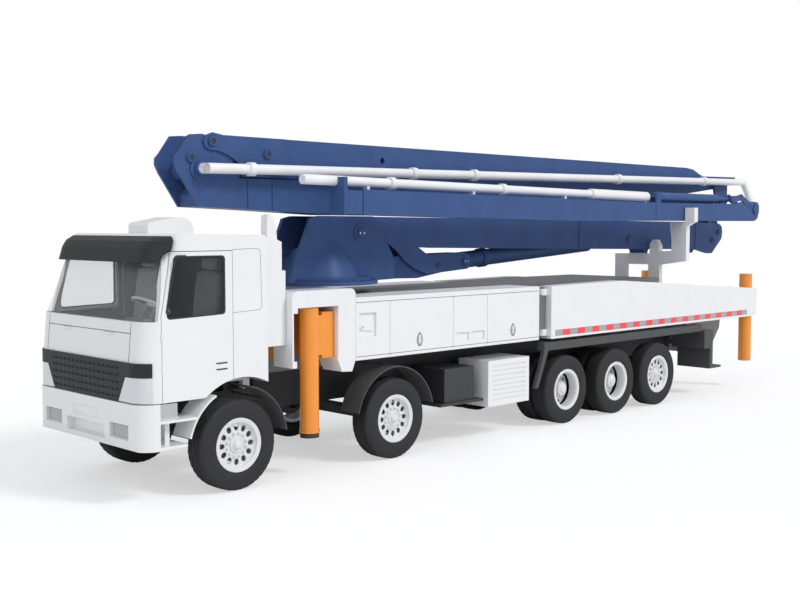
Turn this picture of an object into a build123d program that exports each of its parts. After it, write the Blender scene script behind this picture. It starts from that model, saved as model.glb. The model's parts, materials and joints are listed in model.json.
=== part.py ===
from build123d import *
import os
from math import cos, radians, sin

# Five-axle concrete pump truck with a four-section folding boom.
# Millimetres, +X forward, +Y to the truck's left, +Z up, floor at z = 0.
# Lengths along the truck are given from the front axle, forward positive;
# the origin is on the floor, half way between the two ends of the truck.

# Overall
front_overhang = 1305
rear_reach = 13469
front_axle_x = (rear_reach - front_overhang) / 2
half_width = 1250

# Running gear
axle_at = [0, -2554, -6302, -7640, -8900]
steered_axles = [0, 1, 4]
twin_axles = [2, 3]
tyre_radius = 540
tyre_width = 315
twin_gap = 40
wheel_face = half_width - 20
bead_radius = 290
flange_radius = 320
rim_wall = 15
disc_thickness = 14
hand_holes = 12
hand_hole_radius = 22
hand_hole_circle = 225
hub_radius = 105
spindle_radius = 45
running_clearance = 0.05
kingpin_y = wheel_face - 380
kingpin_radius = 30
eye_radius = 58
eye_height = 120
ear_gap = 2
ear_thickness = 38

# Frame
rail_y = 430
rail_height = 300
rail_flange = 90
rail_wall = 12
rail_top = 1060
rail_front = 1050
rail_rear = -10500
beam_height = 110
spring_width = 80

# Cab
cab_rear = -420
cab_floor = 1230
cab_front = 1275
cab_roof = 3010
wall = 50
floor_top = 1400
corner_radius = 250
arch_radius = 800
arch_shift = -50
arch_inner = 800
door_low = 1150
band_low = 1440
band_top = 1595
door_rear = 80
door_front = 1040
door_top = 2820
door_gap = 8
door_hinge_x = 1036
hinge_levels = (1500, 1860)
cab_half = half_width - 12
glass_thickness = 8
bumper_low = 620
bumper_rear = 1070
bumper_top = 1140

# Superstructure
deck_top = 2190
deck_thickness = 60
subframe_top = 1250
portal_front = -780
portal_rear = -1810
portal_top = 2310
locker_front = -1815
locker_rear = -5550
locker_low = 1380
locker_depth = 620
# Recesses in the locker doors: rear, front, low, high, depth
locker_pockets = [
    (-2175, -1870, 1670, 1985, 30),
    (-3970, -3700, 1480, 1610, 22),
    (-4300, -4020, 1480, 1610, 22),
]
lintel_low = 2100

# Outriggers
jack_radius = 120
jack_wall = 14
jack_x = -1150
jack_y = half_width - jack_radius - 12
jack_low = 530
foot_low = 470
beam_clearance = 6
rear_hinge_x = -5790
rear_hinge_pin = 35
rear_beam_end = -12300
rear_beam_width = 240
rear_hinge_y = half_width - rear_beam_width / 2 - 20
rear_jack_x = -12120

# Boom
turret_x = -2250
ring_radius = 820
boom_half = 240
lug_inner = 200
lift_pivot = (-2750, 3000)
fold_2 = (-12570, 2985)
fold_3 = (-170, 3800)
fold_4 = (-12640, 3430)
cylinder_base = (-5050, 2560)
cylinder_eye = (-9430, 2850)
pin_radius = 45
pipe_pin_radius = 95
pipe_offset = 150
pipe_rear = -13284
pipe_rear_low = -13400
outer_low = 720
outer_high = 1000
pipe_radius = 66
rest_x = -10100
rest_top = 2599

os.makedirs("parts", exist_ok=True)


def x_at(distance):
    """The model's x for a distance from the front axle."""
    return front_axle_x + distance


def slab(outline, y_low, y_high, mode=Mode.ADD, radius=0):
    """A plate standing lengthways: an outline of (distance, z) between two y, its corners rounded."""
    with BuildSketch(Plane.XZ.offset(-y_high)) as side_view:
        with BuildLine():
            Polyline(*[(x_at(x), z) for x, z in outline], close=True)
        make_face()
        if radius:
            fillet(side_view.vertices(), radius)
    extrude(side_view.sketch, amount=y_high - y_low, mode=mode)


def block(x_low, x_high, y_low, y_high, z_low, z_high, mode=Mode.ADD):
    """A box by its six faces, x given from the front axle."""
    with BuildSketch(Plane.XY.offset(z_low)) as plan:
        with Locations((x_at((x_low + x_high) / 2), (y_low + y_high) / 2)):
            Rectangle(x_high - x_low, y_high - y_low)
    extrude(plan.sketch, amount=z_high - z_low, mode=mode)


def cross_tube(x, z, radius, y_low, y_high, mode=Mode.ADD):
    """A round bar or bore across the truck."""
    with BuildSketch(Plane.XZ.offset(-y_high)) as end:
        with Locations((x_at(x), z)):
            Circle(radius)
    extrude(end.sketch, amount=y_high - y_low, mode=mode)


def post(x, y, radius, z_low, z_high, mode=Mode.ADD):
    """An upright round bar or bore."""
    with BuildSketch(Plane.XY.offset(z_low)) as end:
        with Locations((x_at(x), y)):
            Circle(radius)
    extrude(end.sketch, amount=z_high - z_low, mode=mode)


def long_bar(start, end, radius, y, mode=Mode.ADD):
    """A round bar between two (distance, z) points in the plane y."""
    first = Vector(x_at(start[0]), y, start[1])
    last = Vector(x_at(end[0]), y, end[1])
    with BuildSketch(Plane(origin=first, z_dir=last - first)) as end_view:
        Circle(radius)
    extrude(end_view.sketch, amount=(last - first).length, mode=mode)


def frame_plate(outline, x_low, x_high, mode=Mode.ADD):
    """A plate standing across the truck: an outline of (y, z) between two x."""
    with BuildSketch(Plane.YZ.offset(x_at(x_low))) as front_view:
        with BuildLine():
            Polyline(*outline, close=True)
        make_face()
    extrude(front_view.sketch, amount=x_high - x_low, mode=mode)


def spin(profile, x, mode=Mode.ADD):
    """A turned piece about an axle: a profile of (y, radius)."""
    with BuildSketch(Plane(origin=(x_at(x), 0, tyre_radius), x_dir=(0, 1, 0), z_dir=(1, 0, 0))) as half:
        with BuildLine():
            Polyline(*profile, close=True)
        make_face()
    revolve(half.sketch, axis=Axis((x_at(x), 0, tyre_radius), (0, 1, 0)), mode=mode)


def write(part, name):
    part.label = name
    export_step(part, f"parts/{name}.step")


sides = {"left": 1, "right": -1}


# Wheels

def tyre_profile(middle, side):
    half = tyre_width / 2
    outline = [
        (-half + 22, bead_radius + 0.5),
        (-half + 22, flange_radius + 0.5),
        (-half + 4, flange_radius + 8),
        (-half, flange_radius + 70),
        (-half + 10, tyre_radius - 50),
        (-half + 38, tyre_radius),
        (half - 38, tyre_radius),
        (half - 10, tyre_radius - 50),
        (half, flange_radius + 70),
        (half - 4, flange_radius + 8),
        (half - 22, flange_radius + 0.5),
        (half - 22, bead_radius + 0.5),
    ]
    return [(side * (middle + s), r) for s, r in outline]


def rim_barrel(middle, side):
    half = tyre_width / 2
    outline = [
        (-half + 10, bead_radius - rim_wall),
        (-half + 10, flange_radius),
        (-half + 21.5, flange_radius),
        (-half + 21.5, bead_radius),
        (half - 21.5, bead_radius),
        (half - 21.5, flange_radius),
        (half - 10, flange_radius),
        (half - 10, bead_radius - rim_wall),
    ]
    return [(side * (middle + s), r) for s, r in outline]


outer_middle = wheel_face - tyre_width / 2
inner_middle = outer_middle - tyre_width - twin_gap
spindle_end = wheel_face - 60

for axle, x in enumerate(axle_at):
    number = axle + 1
    twin = axle in twin_axles
    for side_name, side in sides.items():
        with BuildPart() as wheel:
            spin(rim_barrel(outer_middle, side), x)
            if twin:
                dish = outer_middle - tyre_width / 2 + 20
                disc = [
                    (dish, spindle_radius + running_clearance),
                    (dish, bead_radius - rim_wall + 2),
                    (dish + disc_thickness, bead_radius - rim_wall + 2),
                    (dish + disc_thickness, hub_radius + 20),
                    (wheel_face - 110, hub_radius - 10),
                    (wheel_face - 90, hub_radius - 30),
                    (wheel_face - 90, 0),
                    (wheel_face - 110, 0),
                    (wheel_face - 110, spindle_radius + running_clearance),
                ]
            else:
                face = wheel_face - 28
                disc = [
                    (face - 62, bead_radius - rim_wall + 2),
                    (face - 62 + disc_thickness, bead_radius - rim_wall + 2),
                    (face, 165),
                    (face, hub_radius + 25),
                    (face + 10, hub_radius),
                    (face + 24, hub_radius - 8),
                    (face + 28, hub_radius - 40),
                    (face + 28, 0),
                    (spindle_end, 0),
                    (spindle_end, spindle_radius + running_clearance),
                    (face - 170, spindle_radius + running_clearance),
                    (face - 170, hub_radius),
                    (face - disc_thickness, hub_radius + 30),
                    (face - disc_thickness, 165),
                ]
            spin([(side * s, r) for s, r in disc], x)
            if twin:
                spin(rim_barrel(inner_middle, side), x)
                web = inner_middle + tyre_width / 2 - 20
                plate = [
                    (web, spindle_radius + running_clearance),
                    (web, bead_radius - rim_wall + 2),
                    (dish + 1, bead_radius - rim_wall + 2),
                    (dish + 1, spindle_radius + running_clearance),
                ]
                spin([(side * s, r) for s, r in plate], x)
            else:
                with BuildSketch(Plane.XZ.offset(-side * wheel_face)) as holes:
                    with Locations((x_at(x), tyre_radius)):
                        with PolarLocations(hand_hole_circle, hand_holes):
                            Circle(hand_hole_radius)
                extrude(holes.sketch, amount=side * 150, mode=Mode.SUBTRACT)
            spin(tyre_profile(outer_middle, side), x)
            if twin:
                spin(tyre_profile(inner_middle, side), x)
        write(wheel.part, f"wheel_{number}_{side_name}")

        if axle in steered_axles:
            with BuildPart() as knuckle:
                post(x, side * kingpin_y, kingpin_radius, tyre_radius - 100, tyre_radius + 100)
                for ear_low in (eye_height / 2 + ear_gap, -eye_height / 2 - ear_gap - ear_thickness):
                    z_low = tyre_radius + ear_low
                    post(x, side * kingpin_y, eye_radius, z_low, z_low + ear_thickness)
                    y_pair = sorted((side * kingpin_y, side * (kingpin_y + 95)))
                    block(x - 50, x + 50, *y_pair, z_low, z_low + ear_thickness)
                plate_y = sorted((side * (kingpin_y + eye_radius + 5), side * (kingpin_y + 95)))
                plate_z = eye_height / 2 + ear_gap + ear_thickness
                block(x - 60, x + 60, *plate_y, tyre_radius - plate_z, tyre_radius + plate_z)
                bar_y = sorted((side * (kingpin_y + 80), side * (spindle_end - 6)))
                cross_tube(x, tyre_radius, spindle_radius, *bar_y)
            write(knuckle.part, f"knuckle_{number}_{side_name}")

# Frame: two channel rails, cross members and the boom's lower frame

with BuildPart() as chassis_frame:
    rail_low = rail_top - rail_height
    for side in (1, -1):
        channel = [
            (side * rail_y, rail_low),
            (side * rail_y, rail_top),
            (side * (rail_y - rail_flange), rail_top),
            (side * (rail_y - rail_flange), rail_top - rail_wall),
            (side * (rail_y - rail_wall), rail_top - rail_wall),
            (side * (rail_y - rail_wall), rail_low + rail_wall),
            (side * (rail_y - rail_flange), rail_low + rail_wall),
            (side * (rail_y - rail_flange), rail_low),
        ]
        frame_plate(channel, rail_rear, rail_front)
        y_pair = sorted((side * (rail_y - 80), side * rail_y))
        block(rail_rear, portal_front - 20, *y_pair, rail_top, subframe_top)
        for x in (-370, 940):
            block(x - 30, x + 30, *y_pair, rail_top, cab_floor)
    for x in (1000, -700, -3400, -4800, -5400, -7000, -8270, -9600, -10400):
        block(x - 40, x + 40, -rail_y + rail_wall, rail_y - rail_wall, rail_low + 60, rail_top - 60)
write(chassis_frame.part, "chassis_frame")

# Axles: beams between the knuckle eyes, drive axles with their casings, springs

with BuildPart() as axle_beams:
    for axle, x in enumerate(axle_at):
        if axle in steered_axles:
            block(x - 50, x + 50, -kingpin_y, kingpin_y, tyre_radius - eye_height / 2, tyre_radius + eye_height / 2)
            for side in (1, -1):
                low = tyre_radius - eye_height / 2
                high = tyre_radius + eye_height / 2
                post(x, side * kingpin_y, eye_radius, low, high)
                post(x, side * kingpin_y, kingpin_radius + running_clearance, low, high, Mode.SUBTRACT)
        else:
            reach = wheel_face - 116
            cross_tube(x, tyre_radius, spindle_radius, -reach, reach)
            cross_tube(x, tyre_radius, 75, -520, 520)
            cross_tube(x, tyre_radius, 190, -130, 130)
        for side in (1, -1):
            y_pair = sorted((side * (rail_y - spring_width), side * rail_y))
            spring_top = rail_low
            leaf = [
                (x - 560, spring_top),
                (x - 560, spring_top - 30),
                (x - 60, tyre_radius + 40),
                (x + 60, tyre_radius + 40),
                (x + 560, spring_top - 30),
                (x + 560, spring_top),
                (x + 500, spring_top),
                (x + 60, tyre_radius + 110),
                (x - 60, tyre_radius + 110),
                (x - 500, spring_top),
            ]
            slab(leaf, *y_pair)
write(axle_beams.part, "axle_beams")

# Cab: hollow shell; every level has the same rounded front corners

cab_levels = [(0, cab_front), (1610, cab_front), (2030, 1235), (3100, 785)]
cab_outline = [
    (cab_rear, door_low),
    (cab_rear, cab_roof - 60),
    (cab_rear + 50, cab_roof - 15),
    (740, cab_roof),
    (840, cab_roof - 45),
    (1400, cab_roof - 300),
    (1400, door_low),
]
cabin_outline = [
    (cab_rear + wall, floor_top),
    (cab_rear + wall, cab_roof - wall - 40),
    (730, cab_roof - wall - 5),
    (820, cab_roof - wall - 60),
    (1400, cab_roof - 400),
    (1400, floor_top),
]
visor_levels = [(2690, 1102), (2850, 1050), (2930, 995), (2985, 900)]
visor_corner = 390
visor_proud = 8
visor_wall = 30
screen_low = 2045
screen_top = 2780
screen_half = 1075
screen_outline = [(1075, screen_low), (1400, screen_low), (1230, screen_top), (918, screen_top)]
window_corner = 45
door_outline = [
    (door_rear, door_low - 20),
    (door_rear, door_top),
    (860, door_top),
    (door_front, 2100),
    (door_front, door_low - 20),
]


def body_levels(inset, mode=Mode.ADD, levels=cab_levels, radius=corner_radius):
    """The cab's front and sides, moved inwards by the inset; the rear is left long."""
    for (z_low, x_low), (z_high, x_high) in zip(levels, levels[1:]):
        x_front = x_low - inset
        half = cab_half - inset
        with BuildSketch(Plane.XY.offset(z_low)) as plan:
            with Locations((x_at((x_front - 1400) / 2), 0)):
                Rectangle(x_front + 1400, 2 * half)
            fillet(plan.vertices().group_by(Axis.X)[-1], radius - inset)
        rise = Vector(x_high - x_low, 0, z_high - z_low)
        extrude(plan.sketch, amount=rise.length, dir=rise.normalized(), mode=mode)


def rounded_plan(x_rear, x_front, half, radius, z_low, z_high, mode):
    with BuildSketch(Plane.XY.offset(z_low)) as plan:
        with Locations((x_at((x_rear + x_front) / 2), 0)):
            Rectangle(x_front - x_rear, 2 * half)
        fillet(plan.vertices().group_by(Axis.X)[-1], radius)
    extrude(plan.sketch, amount=z_high - z_low, mode=mode)


with BuildPart() as cabin:
    body_levels(wall)
    slab(cabin_outline, -cab_half, cab_half, Mode.INTERSECT)

with BuildPart() as cab_skin:
    body_levels(0)
    body_levels(wall, Mode.SUBTRACT)

with BuildPart() as screen_area:
    slab(screen_outline, -half_width, half_width)
    block(700, 1400, -screen_half, screen_half, screen_low, screen_top)

with BuildPart() as screen_hole:
    add(cab_skin.part)
    add(screen_area.part, mode=Mode.INTERSECT)

with BuildPart() as cab_shell:
    body_levels(0)
    slab(cab_outline, -cab_half, cab_half, Mode.INTERSECT)
    add(cabin.part, mode=Mode.SUBTRACT)
    add(screen_hole.part, mode=Mode.SUBTRACT)
    block(-500, cab_front - 120, -arch_inner, arch_inner, door_low - 50, cab_floor, Mode.SUBTRACT)
    for side in (1, -1):
        arch_y = sorted((side * arch_inner, side * half_width))
        cross_tube(arch_shift, tyre_radius, arch_radius, *arch_y, Mode.SUBTRACT)
        with BuildPart(mode=Mode.PRIVATE) as door_hole:
            add(cab_skin.part)
            slab(door_outline, *sorted((side * 900, side * half_width)), Mode.INTERSECT)
        add(door_hole.part, mode=Mode.SUBTRACT)
        for z in hinge_levels:
            post(door_hinge_x, side * cab_half, 12.5, z, z + 40, Mode.SUBTRACT)
            post(door_hinge_x, side * cab_half, 11, z - 20, z)
            post(door_hinge_x, side * cab_half, 11, z + 40, z + 60)
            post(door_hinge_x, side * cab_half, 5, z - 20, z + 60)
    pod = [
        (-75, cab_roof - 20),
        (-75, 3070),
        (-40, 3150),
        (30, 3200),
        (180, 3205),
        (540, 3140),
        (565, 3110),
        (565, cab_roof - 20),
    ]
    slab(pod, -217, 217)
write(cab_shell.part, "cab_shell")

for side_name, side in sides.items():
    with BuildPart() as door:
        body_levels(0)
        body_levels(wall - 1, Mode.SUBTRACT)
        reach_y = sorted((side * 900, side * half_width))
        leaf = [
            (door_rear + door_gap, door_low),
            (door_rear + door_gap, door_top - door_gap),
            (860 - door_gap, door_top - door_gap),
            (door_front - door_gap, 2100),
            (door_front - door_gap, door_low),
        ]
        slab(leaf, *reach_y, Mode.INTERSECT)
        window = [(185, 2090), (185, 2765), (835, 2765), (970, 2160), (970, 2065)]
        slab(window, *reach_y, Mode.SUBTRACT, window_corner)
        cross_tube(arch_shift, tyre_radius, arch_radius, *reach_y, Mode.SUBTRACT)
        for z in hinge_levels:
            post(door_hinge_x, side * cab_half, 12.5, z - 21, z + 61, Mode.SUBTRACT)
            post(door_hinge_x, side * cab_half, 11, z + 0.5, z + 39.5)
            knuckle_y = sorted((side * (cab_half - 11), side * (cab_half - 1)))
            block(door_hinge_x - 25, door_hinge_x, *knuckle_y, z + 0.5, z + 39.5)
            post(door_hinge_x, side * cab_half, 5 + running_clearance, z, z + 40, Mode.SUBTRACT)
    write(door.part, f"cab_door_{side_name}")

with BuildPart() as windscreen:
    body_levels(2)
    body_levels(2 + glass_thickness, Mode.SUBTRACT)
    add(screen_area.part, mode=Mode.INTERSECT)
write(windscreen.part, "windscreen")

with BuildPart() as sun_visor:
    body_levels(-visor_proud, levels=visor_levels, radius=visor_corner)
    body_levels(visor_wall - visor_proud, Mode.SUBTRACT, visor_levels[:-1], visor_corner)
    body_levels(0, Mode.SUBTRACT)
    sides_cut = [(1030, 2690), (1400, 2690), (1400, 2990), (810, 2990), (872, 2820), (965, 2765)]
    slab(sides_cut, -half_width, half_width, Mode.INTERSECT)
write(sun_visor.part, "sun_visor")

guard_y = (wheel_face - 335, half_width - 5)


def arch(x, start, end, side, radius=690, thickness=14):
    """A thin mudguard round a wheel, between two angles from straight ahead."""
    with BuildSketch(Plane.XZ.offset(-max(side * guard_y[0], side * guard_y[1]))) as band:
        centre = (x_at(x), tyre_radius)
        with BuildLine():
            outer_arc = CenterArc(centre, radius + thickness, start, end - start)
            inner_arc = CenterArc(centre, radius, start, end - start)
            Line(outer_arc @ 0, inner_arc @ 0)
            Line(outer_arc @ 1, inner_arc @ 1)
        make_face()
    extrude(band.sketch, amount=guard_y[1] - guard_y[0])


# Grille with the dark band round the corners, lamps in the corners below it

grille_front = cab_front + 22
grille_trapezoid = [(-900, band_low), (900, band_low), (740, door_low), (-740, door_low)]

with BuildPart() as nose_cover:
    rounded_plan(cab_rear, grille_front, cab_half + 8, corner_radius + 10, door_low, band_top, Mode.ADD)
    body_levels(0, Mode.SUBTRACT)
    block(1150, 1400, -half_width, half_width, door_low, band_top, Mode.INTERSECT)

with BuildPart() as grille:
    add(nose_cover.part)
    with BuildPart(mode=Mode.PRIVATE) as lamp_area:
        block(1100, 1400, -half_width, half_width, door_low, band_low)
        frame_plate(grille_trapezoid, 1000, 1450, Mode.SUBTRACT)
    add(lamp_area.part, mode=Mode.SUBTRACT)
    for level in (1205, 1285, 1365, 1445, 1525):
        block(grille_front - 8, 1400, -760, 760, level - 12, level + 12, Mode.SUBTRACT)
write(grille.part, "grille")

with BuildPart() as headlamps:
    add(nose_cover.part)
    block(1100, 1400, -half_width, half_width, door_low + 6, band_low - 6, Mode.INTERSECT)
    slope = (900 - 740) / (band_low - door_low)
    grown = [(906 + 40 * slope, band_low + 40), (746 - 40 * slope, door_low - 40)]
    wide = grown + [(-y, z) for y, z in reversed(grown)]
    frame_plate(wide, 1000, 1450, Mode.SUBTRACT)
write(headlamps.part, "headlamps")

# Bumper with lamp recesses, plate ledge, steps and the front part of the wheel arch

with BuildPart() as front_bumper:
    nose = [
        (bumper_rear, bumper_low),
        (bumper_rear, bumper_top),
        (front_overhang, bumper_top),
        (front_overhang, 740),
        (front_overhang - 30, bumper_low),
    ]
    slab(nose, -half_width + 5, half_width - 5)
    rounded_plan(cab_rear, front_overhang, half_width - 5, corner_radius, 0, bumper_top, Mode.INTERSECT)
    block(front_overhang - 100, 1400, -430, 430, 690, 850, Mode.SUBTRACT)
    block(front_overhang - 8, 1400, -280, 280, 900, 1020, Mode.SUBTRACT)
    for side in (1, -1):
        lamp_y = sorted((side * 560, side * 960))
        block(front_overhang - 35, 1400, *lamp_y, 730, 900, Mode.SUBTRACT)
        step_y = sorted((side * 800, side * (half_width - 5)))
        wall_y = sorted((side * 800, side * 830))
        block(720, bumper_rear + 1, *wall_y, bumper_low, 1100)
        block(720, bumper_rear + 1, *step_y, bumper_low + 10, bumper_low + 40)
        block(598, bumper_rear + 1, *step_y, 920, 950)
        block(880, 940, *sorted((side * 1100, side * 1120)), bumper_low + 10, 930)
        back_y = sorted((side * 1010, side * 1040))
        block(720, bumper_rear + 1, *back_y, 945, 1100)
        bracket_y = sorted((side * (rail_y - 80), side * rail_y))
        block(rail_front, bumper_rear + 1, *bracket_y, 800, 1000)
        arch(axle_at[0], 14, 62, side, 690, 22)
write(front_bumper.part, "front_bumper")

# Inside the cab

with BuildPart() as seats:
    for side in (1, -1):
        cushion = [
            (120, floor_top),
            (120, floor_top + 300),
            (60, floor_top + 330),
            (-40, floor_top + 1020),
            (60, floor_top + 1040),
            (180, floor_top + 430),
            (620, floor_top + 440),
            (640, floor_top + 320),
            (560, floor_top + 290),
            (520, floor_top),
        ]
        y_pair = sorted((side * 420, side * 920))
        slab(cushion, *y_pair)
write(seats.part, "seats")

with BuildPart() as dashboard:
    console = [
        (cab_front - wall - 20, floor_top),
        (cab_front - wall - 20, 1700),
        (1130, 2010),
        (1000, 2000),
        (860, 1900),
        (880, 1780),
        (1020, 1720),
        (1080, floor_top),
    ]
    slab(console, -1010, 1010)
    wheel_plane = Plane(origin=(x_at(800), 640, 2190), z_dir=(-0.45, 0, 0.89))
    with BuildSketch(Plane(origin=wheel_plane.origin, x_dir=wheel_plane.x_dir, z_dir=wheel_plane.y_dir)) as rim:
        with Locations((220, 0)):
            Circle(16)
    revolve(rim.sketch, axis=Axis(wheel_plane.origin, wheel_plane.z_dir))
    with BuildSketch(wheel_plane) as spokes:
        Rectangle(440, 40)
        Circle(60)
    extrude(spokes.sketch, amount=20, both=True)
    with BuildSketch(wheel_plane) as column:
        Circle(35)
    extrude(column.sketch, amount=-330)
write(dashboard.part, "dashboard")

with BuildPart() as engine:
    block(-500, 900, -300, 300, 620, 1180)
    block(60, 140, rail_wall - rail_y, rail_y - rail_wall, 850, 950)
write(engine.part, "engine")

with BuildPart() as intake_stack:
    y_low = 640
    block(portal_front + 5, cab_rear - 20, y_low, 1130, 1650, 2560)
    trunk = [
        (-720, 2560),
        (-720, 2905),
        (-650, 2935),
        (-635, 3100),
        (-600, 3200),
        (-560, 3235),
        (-510, 3225),
        (-500, 3100),
        (-500, 2560),
    ]
    slab(trunk, 1010, 1130)
    block(-740, -640, 400, y_low, 1700, 1800)
    block(-740, -640, rail_y - 80, rail_y, rail_top, 1800)
write(intake_stack.part, "intake_stack")

# Front outrigger portal with the turret seat on top

beam_tracks = {"left": (-1510, -1310), "right": (-1010, -810)}
beam_low = 1450
beam_top = 2030
portal_core = 600
leg_inner = 880

with BuildPart() as outrigger_frame:
    block(portal_rear + 20, portal_front - 20, -portal_core, portal_core, subframe_top, lintel_low)
    with BuildPart(mode=Mode.PRIVATE) as lintel:
        block(portal_rear, portal_front, -half_width, half_width, lintel_low, portal_top)
        fillet(lintel.edges().filter_by(Axis.Y).group_by(Axis.Z)[-1], 80)
    add(lintel.part)
    for side in (1, -1):
        y_pair = sorted((side * leg_inner, side * half_width))
        front_leg = [
            (portal_front, 1370),
            (portal_front, lintel_low),
            (portal_front - 90, lintel_low),
            (portal_front - 70, 1370),
        ]
        slab(front_leg, *y_pair)
        rear_leg = [
            (portal_rear, lintel_low),
            (portal_rear, 1400),
            (portal_rear + 60, 1250),
            (portal_rear + 230, 1260),
            (portal_rear + 320, 1460),
            (portal_rear + 290, lintel_low),
        ]
        slab(rear_leg, *y_pair)
    for x_low, x_high in beam_tracks.values():
        gap = beam_clearance
        block(x_low - gap, x_high + gap, -half_width - 150, half_width + 150, beam_low, beam_top + gap, Mode.SUBTRACT)
write(outrigger_frame.part, "outrigger_frame")

# Front outriggers: a telescoping beam with its round jack tube, and the leg inside

for side_name, side in sides.items():
    x_low, x_high = beam_tracks[side_name]
    with BuildPart() as front_beam:
        y_pair = sorted((side * -leg_inner, side * (jack_y + 60)))
        block(x_low, x_high, *y_pair, beam_low, beam_top)
        post(jack_x, side * jack_y, jack_radius, jack_low, lintel_low - 10)
        post(jack_x, side * jack_y, jack_radius + 10, jack_low, jack_low + 40)
        near = x_high if x_high < jack_x else x_low
        bridge_x = sorted((near, jack_x))
        bridge_y = sorted((side * (jack_y - 60), side * (jack_y + 60)))
        block(*bridge_x, *bridge_y, beam_low + 40, beam_top - 40)
        post(jack_x, side * jack_y, jack_radius - jack_wall, jack_low, lintel_low - 30, Mode.SUBTRACT)
    write(front_beam.part, f"front_beam_{side_name}")
    with BuildPart() as front_jack:
        post(jack_x, side * jack_y, jack_radius - jack_wall - running_clearance, jack_low - 10, 1500)
        post(jack_x, side * jack_y, jack_radius, foot_low, jack_low - 5)
    write(front_jack.part, f"front_jack_{side_name}")

# Rear outriggers: long swinging box beams with a jack in its own tube at the end

collar = 4

for side_name, side in sides.items():
    outer = half_width
    inner = half_width - rear_beam_width
    with BuildPart() as rear_beam:
        face = [
            (rear_hinge_x - 60, 1370),
            (rear_hinge_x - 60, 2180),
            (-7760, 2200),
            (rear_beam_end, 1900),
            (rear_beam_end, 1370),
        ]
        y_pair = sorted((side * inner, side * outer))
        slab(face, *y_pair)
        for z_low in (1420, 2040):
            post(rear_hinge_x, side * rear_hinge_y, 70, z_low, z_low + 100)
            knuckle_y = sorted((side * (rear_hinge_y - 70), side * (rear_hinge_y + 70)))
            block(rear_hinge_x - 62, rear_hinge_x, *knuckle_y, z_low, z_low + 100)
            pin_gap = running_clearance
            post(rear_hinge_x, side * rear_hinge_y, rear_hinge_pin + pin_gap, z_low, z_low + 100, Mode.SUBTRACT)
        post(rear_jack_x, side * rear_hinge_y, jack_radius + collar, 1370, 2300, Mode.SUBTRACT)
    write(rear_beam.part, f"rear_beam_{side_name}")
    with BuildPart() as rear_tube:
        post(rear_jack_x, side * rear_hinge_y, jack_radius, jack_low + 30, 2180)
        for z_low in (1440, 1800):
            post(rear_jack_x, side * rear_hinge_y, jack_radius + collar, z_low, z_low + 30)
        post(rear_jack_x, side * rear_hinge_y, jack_radius - jack_wall, jack_low + 30, 2160, Mode.SUBTRACT)
    write(rear_tube.part, f"rear_tube_{side_name}")
    with BuildPart() as rear_jack:
        post(rear_jack_x, side * rear_hinge_y, jack_radius - jack_wall - running_clearance, jack_low + 20, 1500)
        post(rear_jack_x, side * rear_hinge_y, jack_radius, foot_low + 30, jack_low + 25)
    write(rear_jack.part, f"rear_jack_{side_name}")

# Deck and lockers

with BuildPart() as deck:
    block(-9300, portal_rear, -half_width + locker_depth, half_width - locker_depth, deck_top - deck_thickness, deck_top)
    for x in (-2600, -4200, -5600, -7400, -9100):
        for side in (1, -1):
            y_pair = sorted((side * (rail_y - 80), side * rail_y))
            block(x - 60, x + 60, *y_pair, subframe_top, deck_top - deck_thickness)
    for side in (1, -1):
        y_pair = sorted((side * (half_width - locker_depth), side * 960))
        block(-9300, locker_rear - 1, *y_pair, deck_top - deck_thickness, deck_top)
    # hinge posts of the rear outriggers, with their pins
    for side in (1, -1):
        post_y = sorted((side * (rear_hinge_y - 50), side * (rear_hinge_y + 50)))
        post(rear_hinge_x, side * rear_hinge_y, 50, 1525, 2035)
        block(rear_hinge_x, locker_rear - 20, *post_y, 1525, 2035)
        post(rear_hinge_x, side * rear_hinge_y, rear_hinge_pin, 1400, 2160)
        arm_y = sorted((side * (rail_y - 80), side * (rear_hinge_y - 49)))
        block(rear_hinge_x, locker_rear - 20, *arm_y, 1600, 1960)
write(deck.part, "deck")

with BuildPart() as lockers:
    for side in (1, -1):
        y_pair = sorted((side * (half_width - locker_depth), side * half_width))
        block(locker_rear, locker_front, *y_pair, locker_low, deck_top)
        for joint in (-2420, -3640, -4360):
            y_skin = sorted((side * (half_width - 12), side * (half_width + 1)))
            block(joint - 5, joint + 5, *y_skin, locker_low + 20, 2120, Mode.SUBTRACT)
        for x_low, x_high, z_low, z_high, depth in locker_pockets:
            y_skin = sorted((side * (half_width - depth), side * (half_width + 1)))
            pocket = [(x_low, z_low), (x_high, z_low), (x_high, z_high), (x_low, z_high)]
            slab(pocket, *y_skin, Mode.SUBTRACT, 25)
write(lockers.part, "lockers")

# Dark guards: arches over the second axle and behind the first, side rails, rear steps

with BuildPart() as guards:
    for side in (1, -1):
        arch(axle_at[0], 100, 172, side)
        arch(axle_at[1], 12, 168, side)
        arm_y = sorted((side * rail_y, side * 1000))
        block(axle_at[1] - 30, axle_at[1] + 30, *arm_y, 1231, 1262)
        block(-510, -470, *arm_y, 1020, 1050)
        y_pair = sorted((side * 1100, side * (half_width - 10)))
        block(-10300, -5700, *y_pair, 1195, 1320)
        foot_y = sorted((side * 1180, side * (half_width - 10)))
        slab([(-5480, 640), (-5700, 1195), (-5800, 1195), (-5560, 640)], *foot_y)
        for x in (-6900, -8300, -9900):
            arm_y = sorted((side * rail_y, side * (half_width - 10)))
            block(x - 30, x + 30, *arm_y, 1200, 1248)
        step_y = sorted((side * 560, side * (half_width - 10)))
        block(-10700, -10400, *step_y, 860, 1190)
        block(-11000, -10640, *step_y, 480, 520)
        block(-10700, -10600, *step_y, 480, 860)
        hanger_y = sorted((side * rail_y, side * 562))
        block(-10490, -10420, *hanger_y, 900, 1000)
write(guards.part, "guards")

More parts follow.
